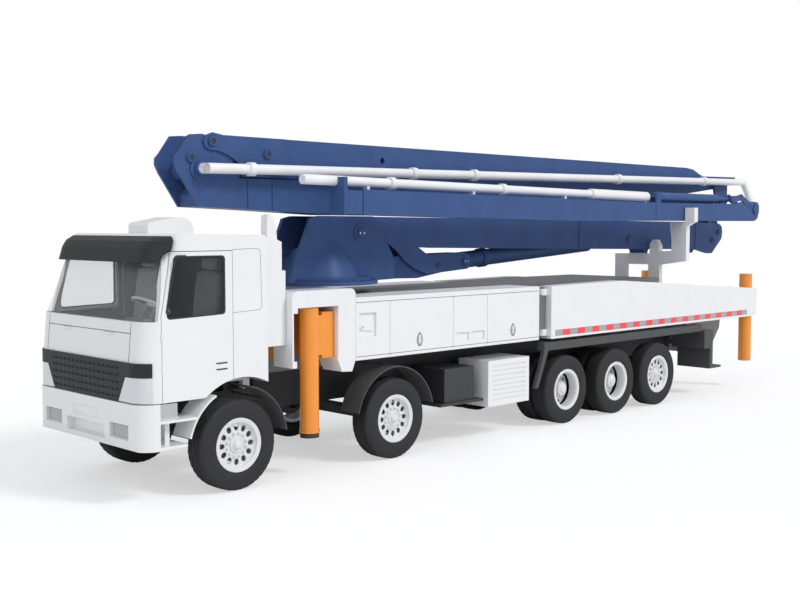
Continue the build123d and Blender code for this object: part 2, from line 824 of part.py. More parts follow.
with BuildPart() as side_boxes:
    for side in (1, -1):
        y_pair = sorted((side * 660, side * (half_width - 10)))
        block(-5330, -4400, *y_pair, 480, 1150)
        arm_y = sorted((side * rail_y, side * 662))
        for x in (-5150, -4580):
            block(x - 30, x + 30, *arm_y, 900, 1000)
        for level in range(8):
            z = 560 + 70 * level
            y_skin = sorted((side * (half_width - 22), side * half_width))
            block(-5230, -4500, *y_skin, z, z + 22, Mode.SUBTRACT)
write(side_boxes.part, "side_boxes")

with BuildPart() as tanks:
    for side in (1, -1):
        y_pair = sorted((side * 560, side * 1160))
        block(-4180, -3560, *y_pair, 620, 1100)
        shelf_y = sorted((side * rail_y, side * 1200))
        block(-4340, -3440, *shelf_y, 580, 620)
        arm_y = sorted((side * rail_y, side * 562))
        for x in (-4080, -3660):
            block(x - 30, x + 30, *arm_y, 600, 1000)
write(tanks.part, "tanks")

# Boom rest: a frame across the truck under section one and the folded outer sections

with BuildPart() as boom_rest:
    for side in (1, -1):
        y_pair = sorted((side * 250, side * 480))
        block(rest_x - 60, rest_x + 60, *y_pair, subframe_top, 2390)
    frame = [
        (-480, 2390),
        (480, 2390),
        (1040, 2470),
        (1040, 3165),
        (700, 3165),
        (740, 2840),
        (740, 2650),
        (500, 2640),
        (350, 2640),
        (275, 2585),
        (-480, 2585),
    ]
    frame_plate(frame, rest_x - 60, rest_x + 60)
    block(rest_x - 60, rest_x + 60, -185, 185, 2560, rest_top)
    prong = [(278, 2560), (480, 2600), (480, 2740), (420, 2850), (340, 2850), (278, 2760)]
    frame_plate(prong, rest_x - 60, rest_x + 60)
    hook = [(1012, 3100), (1040, 3100), (1200, 3180), (1200, 3430), (1012, 3430)]
    frame_plate(hook, rest_x - 60, rest_x + 60)
write(boom_rest.part, "boom_rest")

# Concrete pump at the back: hopper, its grille, delivery cylinders and outlet

hopper_front = -10750
hopper_rear = -12040
hopper_low = 700
hopper_top = 1500
hopper_half = 640
lid_hinge = (hopper_front - 12, hopper_top + 24)
lid_pin = 8

with BuildPart() as hopper:
    outline = [
        (hopper_front, hopper_top),
        (hopper_rear, hopper_top),
        (hopper_rear + 60, hopper_low + 420),
        (hopper_rear + 420, hopper_low),
        (hopper_front - 220, hopper_low),
        (hopper_front, hopper_low + 300),
    ]
    slab(outline, -hopper_half, hopper_half)
    hollow = [
        (hopper_front - 25, hopper_top + 20),
        (hopper_rear + 25, hopper_top + 20),
        (hopper_rear + 85, hopper_low + 430),
        (hopper_rear + 430, hopper_low + 25),
        (hopper_front - 230, hopper_low + 25),
        (hopper_front - 25, hopper_low + 310),
    ]
    slab(hollow, -hopper_half + 25, hopper_half - 25, Mode.SUBTRACT)
    for side in (1, -1):
        y_pair = sorted((side * 300, side * 380))
        block(hopper_front, rail_rear - 100, *y_pair, 900, 1150)
    block(rail_rear - 105, rail_rear, -rail_y, rail_y, 860, 1150)
    for y in (-330, -170, 170, 330):
        block(hopper_front - 25, hopper_front, y - 15, y + 15, hopper_top - 5, lid_hinge[1] + 16)
    for y_low in (-330, 170):
        cross_tube(*lid_hinge, lid_pin, y_low, y_low + 160)
write(hopper.part, "hopper")

with BuildPart() as hopper_grille:
    bar = 14
    z_low = hopper_top
    block(hopper_rear + 5, hopper_front - 40, -hopper_half + 5, hopper_half - 5, z_low, z_low + bar)
    cells = 9
    pitch_y = (2 * hopper_half - 60 - bar) / cells
    pitch_x = (hopper_front - hopper_rear - 80 - bar) / 6
    with BuildSketch(Plane.XY.offset(z_low - 1)) as mesh:
        with Locations((x_at((hopper_front + hopper_rear) / 2), 0)):
            with GridLocations(pitch_x, pitch_y, 6, cells):
                Rectangle(pitch_x - bar, pitch_y - bar)
    extrude(mesh.sketch, amount=bar + 2, mode=Mode.SUBTRACT)
    for y in (-250, 250):
        cross_tube(*lid_hinge, 15, y - 60, y + 60)
        block(hopper_front - 60, hopper_front - 14, y - 60, y + 60, z_low + 5, z_low + bar)
        cross_tube(*lid_hinge, lid_pin + running_clearance, y - 61, y + 61, Mode.SUBTRACT)
write(hopper_grille.part, "hopper_grille")

with BuildPart() as pump_unit:
    for side in (1, -1):
        with BuildSketch(Plane.YZ.offset(x_at(-10400))) as tube:
            with Locations((side * 125, 1420)):
                Circle(105)
        extrude(tube.sketch, amount=3900)
    for x_low, x_high in ((-8300, -7700), (-10500, -10400)):
        block(x_low, x_high, -350, 350, 1150, 1600)
write(pump_unit.part, "pump_unit")

# Turret: bolted ring, cone, side plates and the narrower arm that carries the lift cylinder

plate_inner = 262
plate_outer = 322
arm_inner = 150
arm_outer = 190
ring_top = portal_top + 50

with BuildPart() as turret:
    post(turret_x, 0, ring_radius, portal_top, ring_top)
    post(turret_x, 0, ring_radius - 90, ring_top, ring_top + 40)
    with BuildSketch(Plane.XZ) as cone:
        with BuildLine():
            slope = [(0, ring_top), (560, ring_top), (540, ring_top + 60), (330, 2890), (0, 2890)]
            Polyline(*[(x_at(turret_x) + r, z) for r, z in slope], close=True)
        make_face()
    revolve(cone.sketch, axis=Axis((x_at(turret_x), 0, 0), (0, 0, 1)))
    block(-3080, -1880, -plate_inner, plate_inner, 2695, 2895, Mode.SUBTRACT)
    base = [
        (-1560, ring_top - 10),
        (-1860, 2690),
        (-2500, 2690),
        (-3250, 2600),
        (-3300, 2350),
        (-2950, 2335),
        (-2950, ring_top - 10),
    ]
    slab(base, -plate_inner, plate_inner)
    for side in (1, -1):
        y_pair = sorted((side * plate_inner, side * plate_outer))
        plate = [
            (-1480, ring_top - 10),
            (-1850, 3200),
            (-2000, 3235),
            (-2980, 3235),
            (-3070, 3150),
            (-3420, 2600),
            (-3380, 2345),
            (-3000, 2335),
            (-3000, ring_top - 10),
        ]
        slab(plate, *y_pair)
        arm_y = sorted((side * arm_inner, side * arm_outer))
        arm = [
            (-3200, 2345),
            (-3200, 2590),
            (-3560, 2660),
            (-4300, 2680),
            (-5050, 2690),
            (-5160, 2640),
            (-5180, 2500),
            (-5100, 2440),
            (-4500, 2400),
            (-3990, 2330),
        ]
        slab(arm, *arm_y)
        boss_y = sorted((side * arm_outer, side * (arm_outer + 12)))
        cross_tube(*cylinder_base, 92, *boss_y)
        ring_y = sorted((side * plate_outer, side * (plate_outer + 14)))
        cross_tube(*lift_pivot, 130, *ring_y)
    block(-4300, -3200, -arm_inner, arm_inner, 2360, 2400)
    block(-3330, -3200, -plate_outer, plate_outer, 2350, 2590)
    cross_tube(*lift_pivot, pin_radius, -plate_outer - 20, plate_outer + 20)
    cross_tube(*cylinder_base, pin_radius, -arm_outer - 20, arm_outer + 20)
write(turret.part, "turret")

# Boom section one: from the turret to the rear, with a curved lug beside the turret's arm

with BuildPart() as boom_1:
    girder = [
        (-2660, 3090),
        (-2640, 2920),
        (-2800, 2880),
        (-3300, 2840),
        (-4200, 2775),
        (-9000, 2690),
        (-11900, 2645),
        (-11900, 3180),
        (-3000, 3230),
        (-2760, 3200),
    ]
    slab(girder, -boom_half, boom_half)
    hollow = [(-3700, 2600), (-3700, 2860), (-6200, 3010), (-9700, 3010), (-9700, 2600)]
    slab(hollow, -lug_inner + 5, lug_inner - 5, Mode.SUBTRACT)
    shoe_low = rest_top + 1
    shoe = [(rest_x - 110, 2690), (rest_x - 60, shoe_low), (rest_x + 60, shoe_low), (rest_x + 110, 2690)]
    slab(shoe, -150, 150)
    for side in (1, -1):
        lug_y = sorted((side * lug_inner, side * boom_half))
        lug = [
            (-3250, 2860),
            (-3390, 2830),
            (-3560, 2720),
            (-3690, 2590),
            (-3900, 2470),
            (-4160, 2390),
            (-4400, 2400),
            (-4510, 2460),
            (-4520, 2560),
            (-4440, 2640),
            (-4160, 2680),
            (-3950, 2800),
        ]
        slab(lug, *lug_y)
        cross_tube(-4400, 2520, 42, *sorted((side * lug_inner, side * (boom_half + 14))))
        rear_y = sorted((side * (boom_half - 40), side * (boom_half + 10)))
        ear = [
            (-11700, 2645),
            (-12150, 2560),
            (-12330, 2560),
            (-12700, 2850),
            (-12730, 2985),
            (-12700, 3090),
            (-12600, 3150),
            (-11700, 3180),
        ]
        slab(ear, *rear_y)
        boss_y = sorted((side * (boom_half - 5), side * (boom_half + 24)))
        cross_tube(-12320, 2820, 60, *boss_y)
        cross_tube(cylinder_eye[0], cylinder_eye[1], 75, *boss_y)
        post_y = sorted((side * (boom_half - 5), side * (boom_half + 12)))
        block(-8080, -7900, *post_y, 2720, 3190)
    cross_tube(*lift_pivot, pin_radius + running_clearance, -boom_half - 5, boom_half + 5, Mode.SUBTRACT)
    cross_tube(*fold_2, pin_radius + running_clearance, -boom_half - 15, boom_half + 15, Mode.SUBTRACT)
write(boom_1.part, "boom_1")

# Boom section two: folded forward over section one, ends over the cab in two cheeks

cheek_inner = 196

with BuildPart() as boom_2:
    girder = [
        (-12470, 3290),
        (-11600, 3250),
        (-2300, 3250),
        (-900, 3310),
        (-150, 3335),
        (-150, 3480),
        (-330, 3700),
        (-12300, 3700),
    ]
    slab(girder, -boom_half, boom_half)
    foot = [(-12200, 3300), (-12480, 2900), (-12570, 2860), (-12690, 2940), (-12690, 3060), (-12500, 3400)]
    slab(foot, -boom_half + 45, boom_half - 45)
    cross_tube(*fold_2, pin_radius, -boom_half - 40, boom_half + 40)
    for side in (1, -1):
        y_pair = sorted((side * cheek_inner, side * (boom_half - 4)))
        cheek = [
            (-140, 3335),
            (-760, 3335),
            (-760, 3705),
            (-620, 4000),
            (-450, 4180),
            (-200, 4225),
            (-30, 4210),
            (130, 3990),
            (185, 3930),
            (190, 3850),
            (140, 3750),
        ]
        slab(cheek, *y_pair)
        rim_y = sorted((side * (boom_half - 5), side * (boom_half + 14)))
        cross_tube(-30, 3930, 62, *rim_y)
        cross_tube(*fold_3, 150, *rim_y)
        for x in (-1340, -950):
            strip_y = sorted((side * (boom_half - 5), side * (boom_half + 12)))
            strip_low = 3312 if x > -1000 else 3295
            block(x, x + 70, *strip_y, strip_low, 3695)
    cross_tube(*fold_3, pipe_pin_radius, -boom_half - 60, boom_half + 60)
write(boom_2.part, "boom_2")

# Boom section three: the top one, from over the cab back to the rear

with BuildPart() as boom_3:
    girder = [
        (-800, 3720),
        (-800, 4225),
        (-11340, 4225),
        (-11600, 4200),
        (-11820, 4120),
        (-11960, 4080),
        (-13230, 4100),
        (-13230, 3990),
        (-12750, 3880),
        (-11300, 3720),
    ]
    slab(girder, -boom_half + 6, boom_half - 6)
    tongue = [
        (-810, 3722),
        (-300, 3722),
        (-250, 3675),
        (-170, 3652),
        (-70, 3690),
        (-20, 3780),
        (-40, 3880),
        (-120, 3950),
        (-500, 4130),
        (-810, 4180),
    ]
    slab(tongue, -cheek_inner + 6, cheek_inner - 6)
    cross_tube(*fold_3, pipe_pin_radius + running_clearance, -boom_half, boom_half, Mode.SUBTRACT)
    for side in (1, -1):
        plate_y = sorted((side * (boom_half - 1), side * (boom_half + 24)))
        outer = [
            (-1500, 3730),
            (-820, 3840),
            (-560, 3990),
            (-400, 4035),
            (-330, 4030),
            (-240, 4060),
            (-205, 4140),
            (-250, 4215),
            (-340, 4250),
            (-500, 4225),
            (-1500, 4225),
        ]
        slab(outer, *plate_y)
        filler_y = sorted((side * (boom_half - 7), side * boom_half))
        block(-1490, -810, *filler_y, 3900, 4220)
        boss_y = sorted((side * (boom_half + 20), side * (boom_half + 44)))
        cross_tube(-330, 4140, 62, *boss_y)
        cross_tube(-1180, 4020, 66, *boss_y)
        hole_y = sorted((side * (boom_half - 80), side * boom_half))
        cross_tube(-3250, 4020, 45, *hole_y, Mode.SUBTRACT)
    link = [
        (-12250, 4040),
        (-12430, 3500),
        (-12480, 3360),
        (-12570, 3285),
        (-12700, 3285),
        (-12790, 3360),
        (-12800, 3500),
        (-12800, 4040),
    ]
    slab(link, boom_half + 10, boom_half + 60)
    block(-12740, -12260, boom_half - 10, boom_half + 12, 3900, 4040)
    stub_z = (fold_4[1] - 100, fold_4[1] + 100)
    block(fold_4[0] - 120, fold_4[0] + 120, boom_half + 58, outer_low - 80, *stub_z)
    cross_tube(*fold_4, pipe_pin_radius, outer_low - 82, outer_high + 30)
write(boom_3.part, "boom_3")

# Boom section four: beside the others on the left, from the rear to its tip in front,
# with the cylinder, levers and bracket of its fold on top


def outer_top(x):
    """Height of section four's top face along its front part."""
    return 3500 + 75 * (x + 9300) / 7050


fold_bracket_x = -9180
pipe_4_front = (-1300, 3690)
pipe_4_rear = (-9060, 3606)
fold_line_z = 3610
lever_pins = [(-11760, 3600), (-12090, 3655), (-12440, 3500)]

with BuildPart() as boom_4:
    girder = [
        (-12800, 3380),
        (-12740, 3250),
        (-12620, 3200),
        (-6500, 3185),
        (-2250, 3240),
        (-2250, 3575),
        (-9300, 3500),
        (-12250, 3530),
        (-12560, 3580),
        (-12740, 3570),
        (-12800, 3500),
    ]
    slab(girder, outer_low, outer_high)
    # tip with its pipe bracket
    for x_low, x_high, z_high in ((-2250, -2180, 3580), (-1900, -1840, 3730)):
        block(x_low, x_high, outer_low, outer_high + 6, 3245, z_high)
    block(-2200, -1860, outer_low + 10, outer_high - 6, 3250, 3560)
    # fold bracket, cylinder and levers
    for y_low in (outer_low - 6, outer_high - 24):
        block(fold_bracket_x - 70, fold_bracket_x + 70, y_low, y_low + 30, 3215, 3700)
        for first, last in zip(lever_pins, lever_pins[1:]):
            rise = Vector(last[0] - first[0], last[1] - first[1], 0).normalized() * 55
            lever = [
                (first[0] - rise.Y, first[1] + rise.X),
                (last[0] - rise.Y, last[1] + rise.X),
                (last[0] + rise.Y, last[1] - rise.X),
                (first[0] + rise.Y, first[1] - rise.X),
            ]
            slab(lever, y_low, y_low + 30)
        for pin in lever_pins:
            cross_tube(*pin, 62, y_low, y_low + 30)
    middle = (outer_low + outer_high) / 2
    cross_tube(fold_bracket_x, fold_line_z, 38, outer_low - 12, outer_high + 14)
    for pin in lever_pins:
        cross_tube(*pin, 32, outer_low - 12, outer_high + 14)
    long_bar((fold_bracket_x, fold_line_z), (-11350, 3612), 85, middle)
    long_bar((-11340, 3612), lever_pins[0], 50, middle)
    long_bar(pipe_4_front, pipe_4_rear, pipe_radius + 0.5, outer_low + 100, Mode.SUBTRACT)
    cross_tube(*fold_4, pipe_pin_radius + running_clearance, outer_low - 5, outer_high + 5, Mode.SUBTRACT)
write(boom_4.part, "boom_4")

# Lift cylinder: barrel on the turret's arm, rod reaching into section one

axis_run = Vector(cylinder_eye[0] - cylinder_base[0], 0, cylinder_eye[1] - cylinder_base[1])
unit = axis_run.normalized()


def along(distance):
    """A (distance, z) point on the lift cylinder's centre line."""
    return (cylinder_base[0] + unit.X * distance, cylinder_base[1] + unit.Z * distance)


barrel_end = 3400
rod_radius = 80
eye_distance = axis_run.length

with BuildPart() as lift_cylinder:
    long_bar(along(60), along(barrel_end), 130, 0)
    cross_tube(*cylinder_base, 130, 5 - arm_inner, arm_inner - 5)
    cross_tube(*cylinder_base, pin_radius + running_clearance, -arm_inner, arm_inner, Mode.SUBTRACT)
    long_bar(along(520), along(640), 150, 0)
    long_bar(along(500), along(barrel_end + 1), rod_radius + running_clearance, 0, Mode.SUBTRACT)
write(lift_cylinder.part, "lift_cylinder")

with BuildPart() as lift_rod:
    long_bar(along(600), along(eye_distance - 60), rod_radius, 0)
    cross_tube(*cylinder_eye, 100, -110, 110)
    cross_tube(*cylinder_eye, pin_radius, -111, 111, Mode.SUBTRACT)
write(lift_rod.part, "lift_rod")

# Delivery pipes with their couplings


def pipe_run(points, couplings, radius=pipe_radius):
    """A pipe through (distance, y, z) points, round at its corners.

    The couplings are collars on the longest length, each given as its share of it."""
    corners = [Vector(x_at(x), y, z) for x, y, z in points]
    with BuildLine() as path:
        Polyline(*corners)
    with BuildSketch(Plane(origin=corners[0], z_dir=corners[1] - corners[0])) as end_view:
        Circle(radius)
    sweep(end_view.sketch, path=path.line, transition=Transition.ROUND)
    lengths = sorted(zip(corners, corners[1:]), key=lambda pair: (pair[0] - pair[1]).length)
    first, last = lengths[-1]
    run = (last - first).normalized()
    for share in couplings:
        start = first + (last - first) * share - run * 45
        with BuildSketch(Plane(origin=start, z_dir=run)) as collar:
            Circle(radius + 22)
        extrude(collar.sketch, amount=90)


def pipe_clips(start, end, y_pair, shares):
    """Flat arms from a boom's side to the pipe beside it."""
    for share in shares:
        x = start[0] + (end[0] - start[0]) * share
        z = start[1] + (end[1] - start[1]) * share
        block(x - 25, x + 25, *y_pair, z - 40, z + 40)


with BuildPart() as pipe_3:
    pipe_y = boom_half + pipe_offset
    stub_y = outer_low - 150
    pipe_run(
        [
            (fold_3[0], boom_half + 60, fold_3[1]),
            (fold_3[0], pipe_y, fold_3[1]),
            (pipe_rear, pipe_y, 3990),
            (pipe_rear_low, stub_y, fold_4[1]),
            (fold_4[0] - 120, stub_y, fold_4[1]),
        ],
        (0.05, 0.27, 0.37, 0.66, 0.88),
    )
    pipe_clips(fold_3, (pipe_rear, 3990), (boom_half - 6, pipe_y), (0.2, 0.35, 0.5, 0.7, 0.85))
write(pipe_3.part, "pipe_3")

with BuildPart() as pipe_4:
    pipe_y = outer_low + 100
    pipe_run([(pipe_4_front[0], pipe_y, pipe_4_front[1]), (pipe_4_rear[0], pipe_y, pipe_4_rear[1])], (0.2, 0.5))
    long_bar((-7400, 3624), pipe_4_rear, pipe_radius + 24, pipe_y)
    for x in (-2400, -4500, -6700, -9000):
        saddle = [(x + 25, outer_top(x + 25)), (x + 25, 3630), (x - 25, 3630), (x - 25, outer_top(x - 25))]
        slab(saddle, pipe_y - 40, pipe_y + 40)
write(pipe_4.part, "pipe_4")

with BuildPart() as pipe_2:
    pipe_y = -boom_half - pipe_offset
    pipe_run(
        [
            (fold_3[0], -boom_half - 60, fold_3[1]),
            (fold_3[0], pipe_y, fold_3[1]),
            (-300, pipe_y, 3640),
            (-12570, pipe_y, 3560),
            (fold_2[0], pipe_y, fold_2[1]),
            (fold_2[0], -boom_half - 40, fold_2[1]),
        ],
        (0.1, 0.4, 0.7),
    )
    pipe_clips((-300, 3640), (-12570, 3560), (pipe_y, -boom_half), (0.2, 0.35, 0.5, 0.65, 0.8, 0.95))
write(pipe_2.part, "pipe_2")
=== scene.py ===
"""Finishes of a concrete pump truck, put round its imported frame: paint, wheels, glass, seats, locks, tape and bolts."""

import json
import math

import bmesh
import bpy
from mathutils import Matrix, Vector


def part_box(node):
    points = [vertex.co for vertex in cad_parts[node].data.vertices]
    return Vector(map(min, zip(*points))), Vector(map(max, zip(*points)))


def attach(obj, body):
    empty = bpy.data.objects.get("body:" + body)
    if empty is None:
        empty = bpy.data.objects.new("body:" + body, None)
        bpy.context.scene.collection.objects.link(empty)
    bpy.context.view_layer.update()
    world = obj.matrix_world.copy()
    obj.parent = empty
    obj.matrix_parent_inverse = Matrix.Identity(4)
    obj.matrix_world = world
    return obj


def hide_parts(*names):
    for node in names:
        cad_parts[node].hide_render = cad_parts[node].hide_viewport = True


bl_info = {
    "name": "Concrete pump truck finishes",
    "version": (1, 0, 0),
    "blender": (4, 5, 0),
    "location": "3D View > Sidebar > Pump truck",
    "description": "Adds the paint, wheels, glass, seats and small fittings of a concrete pump truck",
    "category": "Object",
}

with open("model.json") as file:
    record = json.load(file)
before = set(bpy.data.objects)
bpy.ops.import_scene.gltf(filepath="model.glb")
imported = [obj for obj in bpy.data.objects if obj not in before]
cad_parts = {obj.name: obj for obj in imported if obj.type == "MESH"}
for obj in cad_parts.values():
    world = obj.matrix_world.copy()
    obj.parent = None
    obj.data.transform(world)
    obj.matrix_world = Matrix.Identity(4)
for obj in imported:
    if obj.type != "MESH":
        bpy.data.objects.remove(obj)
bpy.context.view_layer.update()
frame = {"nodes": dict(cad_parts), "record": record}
cad_nodes = frame["nodes"]


def node_middle(name):
    low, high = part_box(name)
    return (low + high) / 2


FRONT_AXLE = node_middle("wheel_1_left").x
AXLE_HEIGHT = node_middle("wheel_1_left").z
TYRE_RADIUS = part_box("wheel_1_left")[1].z - AXLE_HEIGHT
HALF_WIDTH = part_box("lockers")[1].y
BUMPER_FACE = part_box("front_bumper")[1].x - FRONT_AXLE
GRILLE_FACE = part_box("grille")[1].x - FRONT_AXLE
CAB_FACE = GRILLE_FACE - 0.022
SIDES = {"left": 1, "right": -1}


def at(x, y, z):
    """A point from its distance ahead of the front axle."""
    return Vector((FRONT_AXLE + x, y, z))


def outline_at(points):
    """A side view's outline, from distances ahead of the front axle and heights."""
    corners = [at(x, 0, z) for x, z in points]
    return [(p.x, p.z) for p in corners]


def turns(count, first=0.0):
    """Angles evenly round a circle, the first one a share of a step on."""
    return [2 * math.pi * (k + first) / count for k in range(count)]


# Sizes and colours that a user may change


def colour(name, about, default):
    return bpy.props.FloatVectorProperty(
        name=name, description=about, subtype="COLOR", size=3, min=0.0, max=1.0, default=default
    )


def size(name, about, default, **more):
    return bpy.props.FloatProperty(name=name, description=about, default=default, unit="LENGTH", **more)


def share(name, about, default):
    return bpy.props.FloatProperty(name=name, description=about, default=default, min=0.0, max=1.0, subtype="FACTOR")


class TruckPaint(bpy.types.PropertyGroup):
    white: colour("White", "Cab, lockers and outrigger beams", (0.845, 0.850, 0.855))
    blue: colour("Blue", "Turret and boom sections", (0.050, 0.097, 0.245))
    orange: colour("Orange", "Jacks and their tubes", (0.93, 0.31, 0.028))
    dark: colour("Dark plastic", "Visor and grille", (0.019, 0.020, 0.020))
    deck: colour("Deck grey", "Deck and pump", (0.175, 0.180, 0.182))
    guard: colour("Guard grey", "Mudguards and side rails", (0.068, 0.068, 0.070))
    frame: colour("Frame black", "Rails, axles and tanks", (0.022, 0.022, 0.024))
    tyre: colour("Rubber", "Tyres", (0.020, 0.020, 0.021))
    rim: colour("Rims", "Wheel discs and flanges", (0.78, 0.79, 0.80))
    tape_red: colour("Tape red", "Reflecting side tape", (0.92, 0.045, 0.05))
    tape_grey: colour("Tape grey", "Reflecting side tape", (0.36, 0.38, 0.385))
    gloss: share("Gloss", "How smooth the paint is", 0.66)


class TruckSizes(bpy.types.PropertyGroup):
    tape_height: size("Tape height", "Width of the reflecting tape", 0.095, min=0.02, max=0.2)
    tape_rows: bpy.props.IntProperty(
        name="Red fields", description="Red fields along one beam", default=15, min=1, max=60
    )
    groove: size("Tread groove", "Depth of the tread grooves", 0.011, min=0.0, max=0.03)
    glass: size("Glass", "Thickness of the door glass", 0.005, min=0.002, max=0.02)
    seam: size("Seam", "Width of the gaps between panels", 0.007, min=0.001, max=0.03)
    ring_bolts: bpy.props.IntProperty(
        name="Ring bolts", description="Bolts on the turret's ring", default=36, min=8, max=96
    )


def paints():
    return bpy.context.scene.truck_paint


def sizes():
    return bpy.context.scene.truck_sizes


# Finishes


def node(tree, kind, **values):
    """A new shader node with the given input values."""
    made = tree.nodes.new("ShaderNode" + kind)
    for name, value in values.items():
        made.inputs[name.replace("_", " ")].default_value = value
    return made


def maths(tree, operation, first, second=None):
    """The result of a calculation on an output and another output or a number."""
    made = node(tree, "Math")
    made.operation = operation
    tree.links.new(first, made.inputs[0])
    if isinstance(second, float):
        made.inputs[1].default_value = second
    elif second is not None:
        tree.links.new(second, made.inputs[1])
    return made.outputs["Value"]


def mix_shaders(tree, share_of_second, first, second, target):
    """Joins two shaders into the surface of an output node."""
    mix = node(tree, "MixShader")
    for source, socket in ((share_of_second, 0), (first, 1), (second, 2)):
        tree.links.new(source, mix.inputs[socket])
    tree.links.new(mix.outputs["Shader"], target.inputs["Surface"])


def raise_surface(tree, height, strength, distance, invert=False):
    """A bump on the material's own shader."""
    bump = node(tree, "Bump", Strength=strength, Distance=distance)
    bump.invert = invert
    tree.links.new(height, bump.inputs["Height"])
    tree.links.new(bump.outputs["Normal"], tree.nodes["Principled BSDF"].inputs["Normal"])


def finish(
    name, base, rough, metal=0.0, coat=0.0, shine=0.5, grain=0.0, grain_scale=60.0, shade=0.04, shade_scale=3.0,
    alpha=1.0,
):
    """A painted, moulded or bare surface: small changes of shade, uneven gloss and a fine grain."""
    material = bpy.data.materials.get(name)
    if material:
        return material
    material = bpy.data.materials.new(name)
    material.use_nodes = True
    tree = material.node_tree
    shader = tree.nodes["Principled BSDF"]
    levels = {"Metallic": metal, "Specular IOR Level": shine, "Coat Weight": coat, "Alpha": alpha}
    for socket, value in {**levels, "Coat Roughness": 0.12}.items():
        shader.inputs[socket].default_value = value
    place = node(tree, "TexCoord").outputs["Object"]
    clouds = node(tree, "TexNoise", Scale=shade_scale, Detail=5.0)
    tree.links.new(place, clouds.inputs["Vector"])
    tint = node(tree, "ValToRGB")
    for end, position, change in zip(tint.color_ramp.elements, (0.3, 0.7), (-shade, shade)):
        end.position = position
        end.color = [min(1.0, c * (1 + change)) for c in base] + [1]
    tree.links.new(clouds.outputs["Fac"], tint.inputs["Fac"])
    tree.links.new(tint.outputs["Color"], shader.inputs["Base Color"])
    dull = node(tree, "MapRange", To_Min=max(0.02, rough - 0.05), To_Max=min(1.0, rough + 0.07))
    tree.links.new(clouds.outputs["Fac"], dull.inputs["Value"])
    tree.links.new(dull.outputs["Result"], shader.inputs["Roughness"])
    if grain:
        fine = node(tree, "TexNoise", Scale=grain_scale, Detail=3.0)
        tree.links.new(place, fine.inputs["Vector"])
        raise_surface(tree, fine.outputs["Fac"], grain, 0.002)
    material.diffuse_color = [*base, alpha]
    return material


def white_paint(name="body_white"):
    return finish(name, paints().white, 1.0 - paints().gloss, coat=0.35, grain=0.03, grain_scale=220, shade=0.012)


def portal_paint():
    """White paint on the outer portal, deck grey on the box between its legs."""
    material = bpy.data.materials.get("portal_paint")
    if material:
        return material
    legs_inside = 0.875
    material = white_paint("portal_paint")
    tree = material.node_tree
    shader = tree.nodes["Principled BSDF"]
    white = shader.inputs["Base Color"].links[0].from_socket
    split = node(tree, "SeparateXYZ")
    tree.links.new(node(tree, "TexCoord").outputs["Object"], split.inputs["Vector"])
    across = maths(tree, "ABSOLUTE", split.outputs["Y"])
    both = node(tree, "Mix")
    both.data_type = "RGBA"
    tree.links.new(maths(tree, "LESS_THAN", across, legs_inside), both.inputs["Factor"])
    colours = {socket.name: socket for socket in both.inputs if socket.type == "RGBA"}
    tree.links.new(white, colours["A"])
    colours["B"].default_value = [*paints().deck, 1]
    tree.links.new([o for o in both.outputs if o.type == "RGBA"][0], shader.inputs["Base Color"])
    return material


def blue_paint():
    rough = 1.08 - paints().gloss
    return finish("boom_blue", paints().blue, rough, shine=0.16, grain=0.05, grain_scale=180, shade=0.07)


def orange_paint():
    rough = 0.98 - paints().gloss
    return finish("jack_orange", paints().orange, rough, coat=0.4, grain=0.03, grain_scale=200, shade=0.03)


def dark_plastic():
    return finish("visor_plastic", paints().dark, 0.46, shine=0.35, grain=0.22, grain_scale=900, shade=0.06)


def frame_paint():
    return finish("frame_paint", paints().frame, 0.5, grain=0.12, grain_scale=240, shade=0.12)


def rim_paint():
    return finish("rim_paint", paints().rim, 0.34, metal=0.15, grain=0.03, grain_scale=300, shade=0.02)


def bright_steel():
    return finish("bright_steel", (0.62, 0.63, 0.65), 0.24, metal=0.9, grain=0.05, grain_scale=400, shade=0.04)


def seam_black():
    return finish("seam_shadow", (0.045, 0.045, 0.047), 0.7, grain=0.1, grain_scale=400, shade=0.1)


def trim_grey():
    return finish("cab_trim", (0.105, 0.107, 0.11), 0.62, grain=0.3, grain_scale=1100, shade=0.06)


def lamp_grey():
    return finish("lamp_grey", (0.40, 0.41, 0.42), 0.28, metal=0.2, grain=0.1, grain_scale=350, shade=0.06)


def screen_glass():
    return finish("screen_glass", (0.62, 0.64, 0.65), 0.06, grain=0.01, grain_scale=8, shade=0.02, alpha=0.11)


def door_window_glass():
    return finish("door_window_glass", (0.10, 0.105, 0.108), 0.06, grain=0.01, grain_scale=8, shade=0.02, alpha=0.13)


def seat_cloth():
    """Woven seat cloth: two crossed bands of yarn."""
    material = bpy.data.materials.get("seat_cloth")
    if material:
        return material
    material = finish("seat_cloth", (0.30, 0.302, 0.306), 0.88, shade=0.12, shade_scale=14)
    tree = material.node_tree
    tree.nodes["Principled BSDF"].inputs["Sheen Weight"].default_value = 0.35
    place = node(tree, "TexCoord").outputs["Object"]
    yarns = []
    for direction in ("X", "Z"):
        yarn = node(tree, "TexWave", Scale=190, Distortion=0.6)
        yarn.bands_direction = direction
        tree.links.new(place, yarn.inputs["Vector"])
        yarns.append(yarn.outputs["Fac"])
    raise_surface(tree, maths(tree, "MULTIPLY", *yarns), 0.5, 0.0015)
    return material


def tread_plate():
    """Deck plate with raised diamonds."""
    material = bpy.data.materials.get("tread_plate")
    if material:
        return material
    material = finish("tread_plate", paints().deck, 0.5, metal=0.2, shade=0.06)
    tree = material.node_tree
    cells = node(tree, "TexVoronoi", Scale=26, Randomness=0.0)
    tree.links.new(node(tree, "TexCoord").outputs["Object"], cells.inputs["Vector"])
    raise_surface(tree, cells.outputs["Distance"], 0.35, 0.003, invert=True)
    return material


# Mesh making


